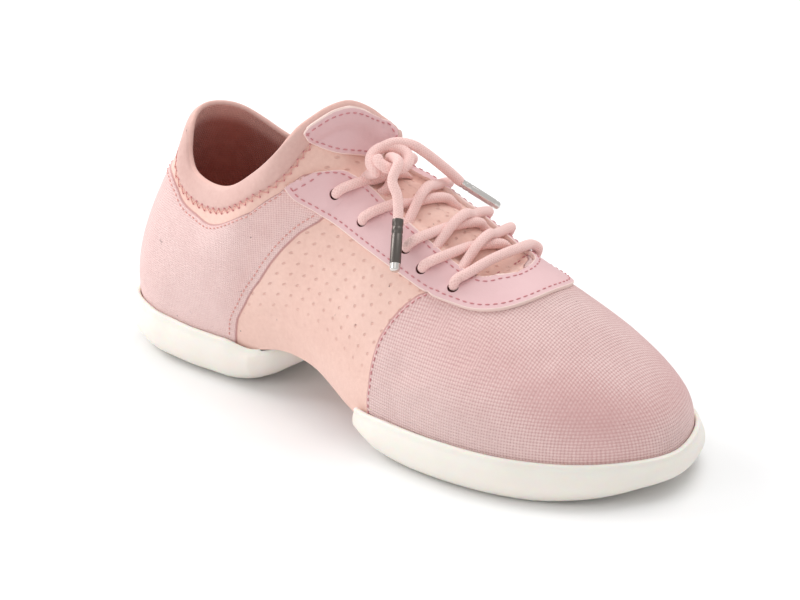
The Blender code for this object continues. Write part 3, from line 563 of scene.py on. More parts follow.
base = blend(tree, times(tree, over(tree, 0.42, 0.75, blotch), 0.16), base, colour(236, 204, 198))
base = blend(tree, times(tree, over(tree, 0.58, 0.30, blotch), 0.12), base, colour(188, 132, 124))
# Painted shade: the cloth is darkened in the seams' troughs.
for label, reach, strength in (("vamp", 0.7, 0.55), ("quarter", 0.7, 0.5)):
    near = over(tree, reach, 0.15, sums(tree, "ABSOLUTE", field(tree, label)))
    base = blend(tree, times(tree, near, strength), base, colour(160, 78, 84))
specks = noise(tree, 0.0022, 1.0, 0.3)
rare = times(tree, over(tree, 0.785, 0.81, specks), over(tree, 0.50, 0.62, noise(tree, 0.02)))
base = blend(tree, times(tree, rare, 0.6), base, colour(70, 48, 46))
# Rows of round dimples on the stretch panels; they fade towards the sole at the arch.
flat_map = tree.nodes.new("ShaderNodeUVMap")
flat_map.uv_map = "cloth"
across, up = parts_of(tree, flat_map.outputs[0])[:2]
DIMPLE = 0.0053
rows_wave = sums(tree, "COSINE", times(tree, up, 2 * pi / DIMPLE))
columns_wave = sums(tree, "COSINE", times(tree, across, 2 * pi / DIMPLE))
pits = over(tree, 1.50, 2.0, sums(tree, "ADD", rows_wave, columns_wave))
plain = sums(tree, "MAXIMUM", band_share, sums(tree, "MAXIMUM", vamp_share, quarter_share))
plain = sums(tree, "MAXIMUM", plain, over(tree, -2.0, 2.0, sums(tree, "SUBTRACT", 17.0, mouth)))
pit_share = times(tree, sums(tree, "SUBTRACT", 1.0, plain), over(tree, 0.012, 0.026, up))
pits = times(tree, pits, pit_share)
knit = noise(tree, 0.0007, 2.0)
normal = relief(tree, sums(tree, "SUBTRACT", 1.0, pits), 0.00024)
coarse = weave_relief(tree, 0.00115)
fine = weave_relief(tree, 0.00085)
# Painted shade: the canvas weave's gaps and the dimples' pits are darkened where shade falls in them.
gaps = sums(tree, "ADD", times(tree, over(tree, 0.55, 0.1, coarse), vamp_share),
            times(tree, over(tree, 0.5, 0.1, fine), times(tree, quarter_share, 0.7)))
shade = blend(tree, times(tree, gaps, 0.6), base, colour(190, 130, 130))
shade = blend(tree, times(tree, pits, 0.5), shade, colour(202, 146, 134))
link(tree, shade, shader.inputs["Base Color"])
normal = relief(tree, times(tree, coarse, vamp_share), 0.0005, normal)
normal = relief(tree, times(tree, fine, quarter_share), 0.0003, normal)
normal = relief(tree, knit, 0.00010, normal)
normal = relief(tree, noise(tree, 0.012, 2.0), 0.0006, normal)
link(tree, normal, shader.inputs["Normal"])

lining, tree, shader = new_paint("dark red lining", Roughness=0.95, Specular_IOR_Level=0.15, Sheen_Weight=0.3)
dark_red = blend(tree, noise(tree, 0.004, 3.0), colour(172, 94, 80), colour(196, 118, 104))
turned_in = over(tree, 9.5, 3.0, field(tree, "mouth"))
link(tree, blend(tree, turned_in, dark_red, colour(228, 168, 156)), shader.inputs["Base Color"])
link(tree, relief(tree, weave_relief(tree, 0.0009), 0.0005), shader.inputs["Normal"])

rim_cloth, tree, shader = new_paint("rolled edge", Roughness=0.88)
rolled_colour = blend(tree, noise(tree, 0.0016, 3.0), colour(216, 172, 162), colour(230, 190, 180))
link(tree, rolled_colour, shader.inputs["Base Color"])
link(tree, relief(tree, noise(tree, 0.0007), 0.0001), shader.inputs["Normal"])

upper = shell("upper_cloth", outside, inside, (cloth, lining, rim_cloth))
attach(upper, "root")
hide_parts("upper")


# Lace stay and tongue patch: smooth lilac-pink synthetic leather, 1.4 mm, laid over the sleeve and sewn along
# all its edges. The stay is one U-shaped piece with five punched holes a side; its cut edge is cream.
outer_skin = BVHTree.FromPolygons([tuple(v.co) for v in upper.data.vertices],
                                  [tuple(p.vertices) for p in upper.data.polygons if p.material_index == 0])


def in_frame(spot):
    """From millimetres forward of the heel's back to metres in the part's frame."""
    return Vector(((spot[0] - HEEL_X) / 1000, spot[1] / 1000, spot[2] / 1000))


def from_heel(place):
    """From metres in the part's frame to millimetres forward of the heel's back."""
    return [place.x * 1000 + HEEL_X, place.y * 1000, place.z * 1000]


def on_cloth(spot, height=0.0):
    """A place in millimetres from the heel, set on the cloth in metres and lifted, and the way it faces."""
    place = outer_skin.find_nearest(in_frame(spot))[0]
    way = Vector()
    for dx, dy in ((0, 0), (0.002, 0), (-0.002, 0), (0, 0.002), (0, -0.002)):
        way += outer_skin.find_nearest(place + Vector((dx, dy, 0)))[1]
    return place + way.normalized() * height / 1000, way.normalized()


def curved(points, count):
    """Evenly numbered places on a smooth curve through a list."""
    columns = list(zip(*points))
    ends = [(2 * c[0] - c[1], 2 * c[-1] - c[-2]) for c in columns]
    return [[curve_value(c, *end, (len(points) - 1) * i / count) for c, end in zip(columns, ends)]
            for i in range(count + 1)]


# Outer and inner edge of the stay's outer half, from its rear end to the front of the throat, in millimetres.
STAY = ((85.1, -23.7, 85.7, 94, -16.2, 91.7), (88.5, -21.6, 81, 101.5, -9.8, 92),
        (96, -19.6, 77.5, 107.7, -7.7, 89.2), (107, -19, 74, 115, -7.6, 86),
        (121, -20.7, 69.9, 124.3, -9, 81.9), (138.3, -22, 64.6, 137, -10.3, 76.9),
        (152.6, -22.4, 59.9, 151, -10.9, 70.5), (163.1, -21.8, 58.5, 161, -10.8, 66.5),
        (170.5, -20.8, 57.9, 165, -10.4, 65.2), (177, -18.2, 58.1, 168.3, -8.4, 65),
        (182.5, -13.5, 58.9, 171, -5, 65.2), (186.5, -6, 60.3, 173.5, -1, 65.5), (188.3, 3, 60.7, 174.6, 3, 65.3))


def over_throat(spot):
    """The same place on the throat's other half, which sits a little further forward."""
    middle = float(np.interp(spot[0], *MIDDLE))
    off = middle - spot[1]
    return [spot[0] + 5.0 * off / 22.5, middle + off, spot[2]]


def welded(mesh, tiny=0.000005):
    """Weld doubled places and drop slivers, where a size for them is given, and turn the faces outward."""
    grid = bmesh.new()
    grid.from_mesh(mesh)
    if tiny:
        bmesh.ops.remove_doubles(grid, verts=grid.verts, dist=0.00001)
        bmesh.ops.dissolve_degenerate(grid, edges=grid.edges, dist=tiny)
        bmesh.ops.recalc_face_normals(grid, faces=grid.faces)
    if grid.calc_volume(signed=True) < 0:
        bmesh.ops.reverse_faces(grid, faces=grid.faces)
    grid.to_mesh(mesh)
    grid.free()
    return mesh


def fit(piece, node=None):
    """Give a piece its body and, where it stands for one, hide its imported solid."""
    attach(piece, "root")
    if node:
        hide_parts(node)
    return piece


def leather_sheet(name, starts, ends, bottom, thickness, corner):
    """A sheet with rounded edges between two lines of places, end to end."""
    steps = (0, 0.18, 0.45, 0.9, 1.8)
    verts, faces, marks = [], [], []
    for start, end in zip(starts, ends):
        start, end = Vector(start), Vector(end)
        width = max((end - start).length, 0.5)
        inner = [k / 9 for k in range(1, 9)]
        near = [min(0.5, e / width) for e in steps]
        shares = near + [near[-1] + (1 - 2 * near[-1]) * k for k in inner] + [1 - e for e in reversed(near)]
        lifted = []
        for share in shares:
            place, way = on_cloth(start.lerp(end, share))
            edge = min(share, 1 - share) * width
            drop = corner * (1 - (1 - max(0.0, 1 - edge / corner) ** 2) ** 0.5)
            lifted.append((place, way, thickness - drop))
        ring = [place + way * (bottom + height) / 1000 for place, way, height in lifted]
        base = [place + way * bottom / 1000 for place, way, height in lifted]
        verts.append(ring + base[::-1])
    count = len(verts[0])
    flat = [point for ring in verts for point in ring]
    half = count // 2
    for r in range(len(verts) - 1):
        for k in range(count):
            a, b = r * count + k, r * count + (k + 1) % count
            faces.append((a, b, b + count, a + count))
            marks.append(1 if k in (half - 1, count - 1, 0, 1, half - 2, half - 3) else 0)
    for ring in (0, len(verts) - 1):
        for k in range(half - 1):
            a, b = ring * count + k, ring * count + k + 1
            c, d = ring * count + count - 2 - k, ring * count + count - 1 - k
            faces.append((a, b, c, d) if ring else (d, c, b, a))
            marks.append(1)
    mesh = bpy.data.meshes.new(name)
    mesh.from_pydata(flat, [], faces)
    mesh.polygons.foreach_set("material_index", marks)
    return put(name, welded(mesh, 0.000002), [leather, cut_edge], 60)


leather, tree, shader = new_paint("lilac pink synthetic leather", Specular_IOR_Level=0.4)
lilac = blend(tree, noise(tree, 0.02, 3.0), colour(220, 180, 182), colour(230, 193, 194))
link(tree, lilac, shader.inputs["Base Color"])
link(tree, sums(tree, "MULTIPLY_ADD", noise(tree, 0.003), 0.16, 0.44), shader.inputs["Roughness"])
normal = relief(tree, noise(tree, 0.0009, 2.0), 0.00007)
normal = relief(tree, noise(tree, 0.014, 2.0), 0.0007, normal)
link(tree, normal, shader.inputs["Normal"])
cut_edge = new_paint("cream cut edge", Base_Color=colour(240, 214, 206), Roughness=0.7)[0]

half_out = [row[:3] for row in STAY]
half_in = [row[3:] for row in STAY]
outer_line = curved(half_out + [over_throat(p) for p in half_out[:-1]][::-1], 240)
inner_line = curved(half_in + [over_throat(p) for p in half_in[:-1]][::-1], 240)
STAY_LIFT, STAY_THICK = 0.1, 1.5
stay = leather_sheet("lace_stay", outer_line, inner_line, STAY_LIFT, STAY_THICK, 0.35)
HOLES = ((160.2, -17.6, 62.2), (146, -18, 66.6), (137.5, -16.2, 71.6), (117, -16, 77), (102.2, -13.9, 83.7))
hole_marks = {OUT: [on_cloth(h, 1.0) for h in HOLES], IN: [on_cloth(over_throat(h), 1.0) for h in HOLES]}
holes = {side: [from_heel(place) for place, way in marks] for side, marks in hole_marks.items()}


def plugs(name, marks, segments, radius, far_radius, depth):
    """A short round pin at each place, standing the way the cloth faces, as one mesh."""
    grid = bmesh.new()
    for place, way in marks:
        stand = Matrix.Translation(place) @ way.to_track_quat("Z", "Y").to_matrix().to_4x4()
        bmesh.ops.create_cone(grid, cap_ends=True, segments=segments, radius1=radius, radius2=far_radius,
                              depth=depth, matrix=stand)
    mesh = bpy.data.meshes.new(name)
    grid.to_mesh(mesh)
    grid.free()
    return mesh


def baked(shape):
    """The mesh that an object shows with its modifiers."""
    return bpy.data.meshes.new_from_object(shape.evaluated_get(bpy.context.evaluated_depsgraph_get()))


punch = put("punches", plugs("punches", hole_marks[OUT] + hole_marks[IN], 28, 0.0022, 0.0022, 0.007), [])
cut = stay.modifiers.new("holes", "BOOLEAN")
cut.object = punch
cut.solver = "EXACT"
cut_mesh = baked(stay)
stay.modifiers.clear()
stay.data = cut_mesh
bpy.data.objects.remove(punch)
cut_mesh.shade_smooth()
cut_mesh.set_sharp_from_angle(angle=radians(50))
fit(stay, "eyestay")

patch_ribs = [int(ribs * t / LAST) for t in np.linspace(5.15, 6.85, 9)]
PATCH_UP = [list(where[0, i, int(np.argmin(np.abs(from_top[0, i] - 0.7)))]) for i in patch_ribs]
PATCH_LOW = ((91.0, -19.6, 106.8), (91.9, -17.4, 103.8), (94.8, -13.8, 100.6), (99.3, -9.2, 98),
             (104, -4.2, 96.8), (108.4, 0.8, 96), (110.4, 6, 96), (110.6, 10.5, 97), (109.2, 13.6, 98.6))
patch_top, patch_bottom = curved(PATCH_UP, 60), curved(PATCH_LOW, 60)
for line, other in ((patch_top, patch_bottom), (patch_bottom, patch_top)):
    for n in range(6):
        round_off = (1 - (1 - (1 - n / 6) ** 2) ** 0.5) * 0.5
        for end in (n, 60 - n):
            line[end] = list(Vector(line[end]).lerp(Vector(other[end]), round_off))
patch = leather_sheet("tongue_patch_leather", patch_top, patch_bottom, 0.1, 1.3, 0.6)
fit(patch, "tongue_patch")


# Hole floors: painted shade at the bottom of each punched hole, where the sleeve's cloth lies in shadow. A thin
# dark round lies on the cloth under every hole of the stay.
dark = new_paint("painted hole shade", Base_Color=colour(84, 46, 44), Roughness=0.95)[0]
floor_marks = [on_cloth(spot, 0.25) for side in (OUT, IN) for spot in holes[side]]
hole_shade_rounds = put("hole_shade_rounds", plugs("hole_shade_rounds", floor_marks, 20, 0.0031, 0.0029, 0.0006), [dark])
fit(hole_shade_rounds)


# Stitches: dark pink running stitch near the edges of stay and patch, along both canvas panels and below the
# crescent; the mouth's band is joined by a flat zigzag seam. Each stitch is a short rounded grain of thread.
thread = new_paint("dark pink thread", Base_Color=colour(203, 134, 138), Roughness=0.7)[0]
pale_thread = new_paint("pink thread", Base_Color=colour(222, 160, 152), Roughness=0.7)[0]


def stitch_tree(material):
    """Geometry nodes that lay rounded grains of thread along a path."""
    tree = bpy.data.node_groups.new("stitches", "GeometryNodeTree")
    face = tree.interface
    face.new_socket("Path", in_out="INPUT", socket_type="NodeSocketGeometry")
    for label, value in (("Pitch", 0.003), ("Length", 0.002), ("Thickness", 0.0006)):
        face.new_socket(label, in_out="INPUT", socket_type="NodeSocketFloat").default_value = value
    face.new_socket("Stitches", in_out="OUTPUT", socket_type="NodeSocketGeometry")
    entry = tree.nodes.new("NodeGroupInput")
    leave = tree.nodes.new("NodeGroupOutput")
    spaced = tree.nodes.new("GeometryNodeResampleCurve")
    spaced.mode = "LENGTH"
    tangent = tree.nodes.new("GeometryNodeInputTangent")
    align = tree.nodes.new("FunctionNodeAlignRotationToVector")
    align.axis = "X"
    grain = tree.nodes.new("GeometryNodeMeshUVSphere")
    grain.inputs["Segments"].default_value = 6
    grain.inputs["Rings"].default_value = 4
    grain.inputs["Radius"].default_value = 0.5
    size = tree.nodes.new("ShaderNodeCombineXYZ")
    place = tree.nodes.new("GeometryNodeInstanceOnPoints")
    real = tree.nodes.new("GeometryNodeRealizeInstances")
    paint = tree.nodes.new("GeometryNodeSetMaterial")
    paint.inputs["Material"].default_value = material
    joins = ((entry.outputs["Path"], spaced.inputs["Curve"]), (entry.outputs["Pitch"], spaced.inputs["Length"]),
             (tangent.outputs[0], align.inputs["Vector"]), (spaced.outputs[0], place.inputs["Points"]),
             (align.outputs[0], place.inputs["Rotation"]), (grain.outputs[0], place.inputs["Instance"]),
             (entry.outputs["Length"], size.inputs[0]), (entry.outputs["Thickness"], size.inputs[1]),
             (entry.outputs["Thickness"], size.inputs[2]), (size.outputs[0], place.inputs["Scale"]),
             (place.outputs[0], real.inputs[0]), (real.outputs[0], paint.inputs["Geometry"]),
             (paint.outputs[0], leave.inputs[0]))
    for a, b in joins:
        tree.links.new(a, b)
    return tree


def thread_line(name, paths):
    """Open paths in metres as one curve object."""
    line = bpy.data.curves.new(name, "CURVE")
    line.dimensions = "3D"
    for path in paths:
        spline = line.splines.new("POLY")
        spline.points.add(len(path) - 1)
        for knot, point in zip(spline.points, path):
            knot.co = (*point, 1)
    row = bpy.data.objects.new(name, line)
    bpy.context.scene.collection.objects.link(row)
    return row


def sew(name, paths, material, pitch, length, thickness):
    """Rows of stitches along paths in metres, as one mesh."""
    row = thread_line(name, paths)
    nodes = row.modifiers.new("stitches", "NODES")
    nodes.node_group = stitch_tree(material)
    for item in nodes.node_group.interface.items_tree:
        value = {"Pitch": pitch, "Length": length, "Thickness": thickness}.get(item.name)
        if value:
            nodes[item.identifier] = value
    mesh = baked(row)
    bpy.data.objects.remove(row)
    piece = bpy.data.objects.new(name, mesh)
    bpy.context.scene.collection.objects.link(piece)
    mesh.shade_smooth()
    return fit(piece)


def inset_line(starts, ends, inset, height):
    """The line `inset` millimetres in from the first of two edges, on top of the leather."""
    result = []
    for start, end in zip(starts, ends):
        start, end = Vector(start), Vector(end)
        share = inset / max((end - start).length, 1)
        if share < 0.5:
            result.append(on_cloth(start.lerp(end, share), height)[0])
    return result


top_height = STAY_LIFT + STAY_THICK + 0.05
end_rows = [[on_cloth(Vector(outer_line[n]).lerp(Vector(inner_line[n]), k / 10), top_height)[0]
             for k in range(2, 9)] for n in (4, 236)]
sew("stay_stitches", [inset_line(outer_line[3:238], inner_line[3:238], 2.2, top_height),
                      inset_line(inner_line[3:238], outer_line[3:238], 1.9, top_height)] + end_rows,
    thread, 0.0029, 0.0020, 0.00062)
sew("patch_stitches", [inset_line(patch_top[3:58], patch_bottom[3:58], 1.9, 1.45),
                       inset_line(patch_bottom[3:58], patch_top[3:58], 1.9, 1.45)],
    thread, 0.0029, 0.0020, 0.00062)


def grid_line(field_values, side, target, low_share, high_share):
    """Where a field of the outer grid crosses a value, going up the ribs' rows."""
    found = []
    s = 0 if side == OUT else 1
    for j in range(int(rows * low_share), int(rows * high_share)):
        strip = field_values[s, :, j] - target
        for i in np.nonzero(strip[:-1] * strip[1:] < 0)[0]:
            share = strip[i] / (strip[i] - strip[i + 1])
            found.append(Vector(outside[s, i, j] * (1 - share) + outside[s, i + 1, j] * share
                                + normals[s, i, j] * 0.00015))
            break
    return found


front_rows = [grid_line(past_front, side, 1.3, 0.05, 0.93) for side in (OUT, IN)]
sew("vamp_stitches", front_rows, thread, 0.0026, 0.0018, 0.00055)
rear_rows = [grid_line(before_rear, side, 3.0, 0.05, 0.80) for side in (OUT, IN)]
sew("quarter_front_stitches", rear_rows, pale_thread, 0.0022, 0.0015, 0.0005)


def rib_line(field_values, side, target, first, last):
    """Where a field crosses a value along each rib, going round the shoe."""
    found = []
    s = 0 if side == OUT else 1
    for i in range(int(ribs * first / LAST), int(ribs * last / LAST)):
        strip = field_values[s, i] - target
        crossed = np.nonzero(strip[:-1] * strip[1:] < 0)[0]
        if len(crossed):
            j = crossed[-1]
            share = strip[j] / (strip[j] - strip[j + 1])
            found.append((outside[s, i, j] * (1 - share) + outside[s, i, j + 1] * share, normals[s, i, j]))
    return found


crescent_rows = []
for side in (OUT, IN):
    crescent_rows.append([Vector(p + n * 0.00015) for p, n in rib_line(below_crescent, side, 1.8, 0, 5.9)])
sew("quarter_stitches", crescent_rows, pale_thread, 0.0024, 0.0016, 0.0005)
zigzags, needle_holes = [], []
for side in (OUT, IN):
    centre = [(Vector(p), Vector(n)) for p, n in rib_line(from_mouth, side, BAND + 0.2, 0, 6.75)]
    walked = [0.0]
    for (a, _), (b, _) in zip(centre, centre[1:]):
        walked.append(walked[-1] + (b - a).length)
    path = []
    for k in range(int(walked[-1] / 0.0019)):
        place = float(np.interp(0.0019 * k, walked, range(len(centre))))
        i = min(int(place), len(centre) - 2)
        spot = centre[i][0].lerp(centre[i + 1][0], place - i)
        along = centre[min(i + 4, len(centre) - 1)][0] - centre[max(i - 4, 0)][0]
        aside = centre[i][1].cross(along).normalized() * (0.0012 if k % 2 else -0.0012)
        place, way = outer_skin.find_nearest(spot + aside)[:2]
        path.append(place + way * 0.0003)
        needle_holes.append([place + way * 0.0001, place + way * 0.0001 + along.normalized() * 0.0002])
    zigzags.append(path)
sew("needle_marks", needle_holes, thread, 0.01, 0.0007, 0.0007)
zigzag = thread_line("mouth_zigzag", zigzags)
zigzag.data.bevel_depth = 0.0002
zigzag.data.bevel_resolution = 1
zigzag_mesh = baked(zigzag)
bpy.data.objects.remove(zigzag)
fit(put("mouth_seam", zigzag_mesh, [pale_thread]))


# Lace: one round braid of 3.8 mm, pale pink, in two families of strands that cross over the tongue. Each
# comes out from under one side of the stay and goes down into the other side's next hole.
LACE = 3.8
LACE_STEP = 0.55
STRANDS = 8
braid, tree, shader = new_paint("pink braid", Roughness=0.85, Sheen_Weight=0.3)
wrap = tree.nodes.new("ShaderNodeUVMap")
wrap.uv_map = "braid"
around_lace, along_lace = parts_of(tree, wrap.outputs[0])[:2]
turns, steps = times(tree, around_lace, 2 * pi * STRANDS), times(tree, along_lace, 2 * pi / 0.0010)
left_way = sums(tree, "SINE", sums(tree, "ADD", turns, steps))
right_way = sums(tree, "SINE", sums(tree, "SUBTRACT", turns, steps))
plait = sums(tree, "MULTIPLY_ADD", sums(tree, "MAXIMUM", left_way, right_way), 0.5, 0.5)
link(tree, blend(tree, plait, colour(236, 190, 184), colour(246, 208, 202)), shader.inputs["Base Color"])
link(tree, relief(tree, noise(tree, 0.0005), 0.0001, relief(tree, plait, 0.00014)), shader.inputs["Normal"])


def lace_run(name, points, node=None, diameter=LACE, thin_start=False):
    """A round lace through places in millimetres from the heel, as a tube; also gives its middle line."""
    fine = [Vector(p) for p in curved(points, 40 * len(points))]
    walked = [0.0]
    for a, b in zip(fine, fine[1:]):
        walked.append(walked[-1] + (b - a).length)
    count = int(walked[-1] / LACE_STEP)
    stations = []
    for k in range(count + 1):
        place = float(np.interp(walked[-1] * k / count, walked, range(len(fine))))
        i = min(int(place), len(fine) - 2)
        stations.append(fine[i].lerp(fine[i + 1], place - i))
    verts, faces, wraps = [], [], []
    side = None
    ring = 2 * STRANDS
    for k, spot in enumerate(stations):
        way = (stations[min(k + 1, count)] - stations[max(k - 1, 0)]).normalized()
        side = way.orthogonal().normalized() if side is None else (side - way * side.dot(way)).normalized()
        other = way.cross(side)
        end = min(k, count - k)
        radius = diameter / 2 * (0.80 if end == 0 else 0.96 if end == 1 else 1.0)
        if thin_start:
            radius *= min(1.0, 0.25 + 0.75 * k * LACE_STEP / 6)
        twist = 2 * pi * k * LACE_STEP / 2.8
        for n in range(ring):
            angle = 2 * pi * n / ring
            swell = 1 + 0.02 * max(sin(STRANDS * angle + twist), sin(STRANDS * angle - twist))
            verts.append(in_frame(spot + (side * cos(angle) + other * sin(angle)) * radius * swell))
    for k in range(count):
        for n in range(ring):
            a, b = k * ring + n, k * ring + (n + 1) % ring
            faces.append((a, b, b + ring, a + ring))
            wraps += [((n + x) / ring, (k + y) * LACE_STEP / 1000) for x, y in ((0, 0), (1, 0), (1, 1), (0, 1))]
    faces.append(tuple(range(ring))[::-1])
    faces.append(tuple(range(count * ring, count * ring + ring)))
    wraps += [(0, 0)] * (2 * ring)
    mesh = bpy.data.meshes.new(name)
    mesh.from_pydata(verts, [], faces)
    layer = mesh.uv_layers.new(name="braid")
    layer.data.foreach_set("uv", [value for pair in wraps for value in pair])
    piece = put(name, welded(mesh, 0), [braid], 80)
    return fit(piece, node), [((p.x - HEEL_X) / 1000, p.y / 1000, p.z / 1000) for p in stations]


def above(spot, height):
    """The place on the cloth next to a place, lifted by a height."""
    return from_heel(on_cloth(spot, height)[0])


def clear_of_cloth(spot, height):
    """Lift a place along the cloth's normal until it is `height` above it."""
    place = in_frame(spot)
    near, way = on_cloth(spot)
    short = height / 1000 - (place - near).dot(way)
    if short > 0:
        place += way * short
    return from_heel(place)


OVER_STAY = STAY_LIFT + STAY_THICK + LACE / 2


def into_hole(hole, towards):
    """The last places of a strand that lies on the stay and turns down into a hole."""
    way = (Vector(towards) - Vector(hole)).normalized()
    return [above(Vector(hole) + way * off, height) for off, height in (
        (7.5, OVER_STAY + 0.3), (4.0, OVER_STAY + 0.4), (2.0, OVER_STAY - 0.1), (0.8, OVER_STAY - 1.6), (0.5, 0.4))]


bar_route = into_hole(holes[OUT][0], holes[IN][0])[::-1]
for share in (0.35, 0.5, 0.65):
    bar_route.append(clear_of_cloth(Vector(holes[OUT][0]).lerp(Vector(holes[IN][0]), share), OVER_STAY + 2.2))
bar_route += into_hole(holes[IN][0], holes[OUT][0])
lace_run("lace_bar_braid", bar_route, "lace_bar")
for row in range(1, 5):
    begin, depth = (0.36, 0.9) if row == 4 else (0.20, -0.2)
    for side, rise in ((OUT, 0.2), (IN, 3.6)):
        own, before = Vector(holes[side][row]), Vector(holes[side][row - 1])
        across_from = Vector(holes[-side][row - 1]).lerp(Vector(holes[-side][row]), 0.40)
        deep = across_from.lerp(before, begin - 0.13)
        start = Vector(above(across_from.lerp(before, begin), depth))
        finish_at = Vector(above(own.lerp(start, 0.30), OVER_STAY + 0.4))
        route = [above(deep, depth - 0.4), list(start)]
        for share in (0.2, 0.42, 0.64, 0.86):
            arch = rise * 4 * share * (1 - share)
            spot = start.lerp(finish_at, share) + Vector((0.2, 0, 0.98)) * arch
            route.append(clear_of_cloth(spot, LACE / 2 + 0.3 + (rise if 0.3 < share < 0.7 else 0)))
        route += into_hole(own, start)
        if side == OUT:
            lace_run("lace_row_%d_outer" % row, route, "lace_cross_%d" % row, thin_start=True)
        else:
            lace_run("lace_row_%d_inner" % row, route, thin_start=True)


# Knot and free ends: the same braid curls round once at the top in a ring as wide as a finger. Both free ends
# come out of it, the near one through its middle and the far one from behind, and each ends in a metal tip.
CURL = Vector((119.6, -3.6, 99.0))
curl_way = Vector((0.42, -0.26, 0.87)).normalized()
curl_side = Vector((0.62, 0.78, 0)).normalized()
curl_side = (curl_side - curl_way * curl_side.dot(curl_way)).normalized()
curl_up = curl_way.cross(curl_side)
curl_route = [above((106.5, -11.0, 89), -0.6), above((108.5, -8.8, 89), -0.1),
              above((110.5, -7.0, 90), LACE / 2 + 0.8), above((112.0, -6.2, 91), LACE / 2 + 3.0)]
for n in range(13):
    angle = radians(215 - n * 33)
    lift_here = -1.6 + 3.9 * n / 12
    reach = (curl_side * cos(angle) * 7.6 + curl_up * sin(angle) * 6.8) * (1 - 0.02 * n)
    curl_route.append(CURL + reach + curl_way * lift_here)
lace_run("lace_curl", curl_route, "lace_knot", LACE * 1.12, True)
near_route = [CURL + curl_way * -1.4 + curl_up * 2.0, CURL + curl_way * 2.6 - curl_up * 1.2 + curl_side * 0.4,
              CURL + curl_way * 5.8 - curl_up * 6.2 + curl_side * 0.6, (128.0, -13.2, 96.2),
              (131.6, -15.0, 91.8), (134.2, -17.6, 87.2), (136, -20.2, 83.4)]
near_end, near_line = lace_run("lace_near_end", near_route, "lace_end_near")
far_route = [(113.6, -2.6, 101.7), (117.0, 2.2, 103.2), (121.6, 6.4, 102.0), (124.6, 10.0, 98.6),
             (127.4, 13.8, 94.2), (130.4, 17.6, 89.4), (133.2, 20.8, 84.8)]
far_end, far_line = lace_run("lace_far_end", far_route, "lace_end_far")


# Lace tips: rolled metal tubes 18.5 mm long, with crimped grooves where they grip the braid and a rounded
# end. Both tips are one metal, painted apart for light: the near one dark, as in shade, with a bright end, and
# the far one bright all over, as lit.
def metal(name, shade, roughness):
    made, tree, shader = new_paint(name, Base_Color=colour(*shade), Metallic=1.0)
    link(tree, sums(tree, "MULTIPLY_ADD", noise(tree, 0.002), 0.15, roughness), shader.inputs["Roughness"])
    return made


def lace_tip(name, line, tip, diameter, materials, node):
    """A tube from the end of a lace towards a place, turned from a profile of length, width and shade."""
    start = Vector(line[-1])
    way = (in_frame(tip) - start).normalized()
    side = way.orthogonal().normalized()
    other = way.cross(side)
    profile = ((-1.6, 0.80, 0), (-1.6, 0.97, 0), (-1.35, 1.0, 0), (0.6, 1.0, 0), (0.9, 0.93, 0), (1.5, 0.93, 0),
               (1.8, 1.0, 0), (3.4, 1.0, 0), (3.7, 0.93, 0), (4.2, 0.93, 0), (4.5, 1.0, 0), (15.4, 1.0, 0),
               (15.6, 1.0, 1), (15.8, 0.94, 1), (17.4, 0.94, 1), (18.0, 0.80, 1), (18.35, 0.5, 1), (18.45, 0.0, 1))
    spokes = [side * cos(2 * pi * n / 28) + other * sin(2 * pi * n / 28) for n in range(28)]
    grid = bmesh.new()
    rings = []
    for along, wide, _ in profile:
        middle, radius = start + way * along / 1000, diameter / 2000 * max(wide, 0.02)
        rings.append([grid.verts.new(middle + spoke * radius) for spoke in spokes])
    for ring, following, row in zip(rings, rings[1:], profile[1:]):
        for n in range(28):
            face = grid.faces.new((ring[n], ring[(n + 1) % 28], following[(n + 1) % 28], following[n]))
            face.material_index = row[2]
    grid.faces.new(rings[0][::-1])
    grid.faces.new(rings[-1]).material_index = 1
    bmesh.ops.recalc_face_normals(grid, faces=grid.faces)
    mesh = bpy.data.meshes.new(name)
    grid.to_mesh(mesh)
    grid.free()
    return fit(put(name, mesh, materials, 35), node)


# Painted light on the tips' metal: a dark copy of it for shade and a bright copy for light.
gunmetal = metal("gunmetal", (104, 98, 94), 0.25)
bright = metal("bright metal", (214, 210, 206), 0.12)
near_tip = lace_tip("tip_near", near_line, (142.7, -30.6, 69.7), 4.2, [gunmetal, bright],
                    "aglet_near")
far_tip = lace_tip("tip_far", far_line, (140.5, 30.5, 75.2), 3.4, [bright, bright], "aglet_far")


# Soles: two cemented cup units of white rubber, heel and forefoot, with the arch bare between them. Each has a
# raised lip round its top, a rounded side and a fine-ribbed tread; the forefoot one ends in a point at the back.
TREAD = ((3, 3.5), (10, 0.6), (16.2, 0), (61.2, 0), (71.2, 2.8), (80, 8), (87.5, 14), (92.5, 17.2), (128, 9.6),
         (133, 7.2), (140, 3.6), (150, 1.0), (160, 0), (215, 0), (231, 2.0), (240, 4.5), (246.2, 6.5))
TIP_FROM, TIP_END = 7.5, 9.2


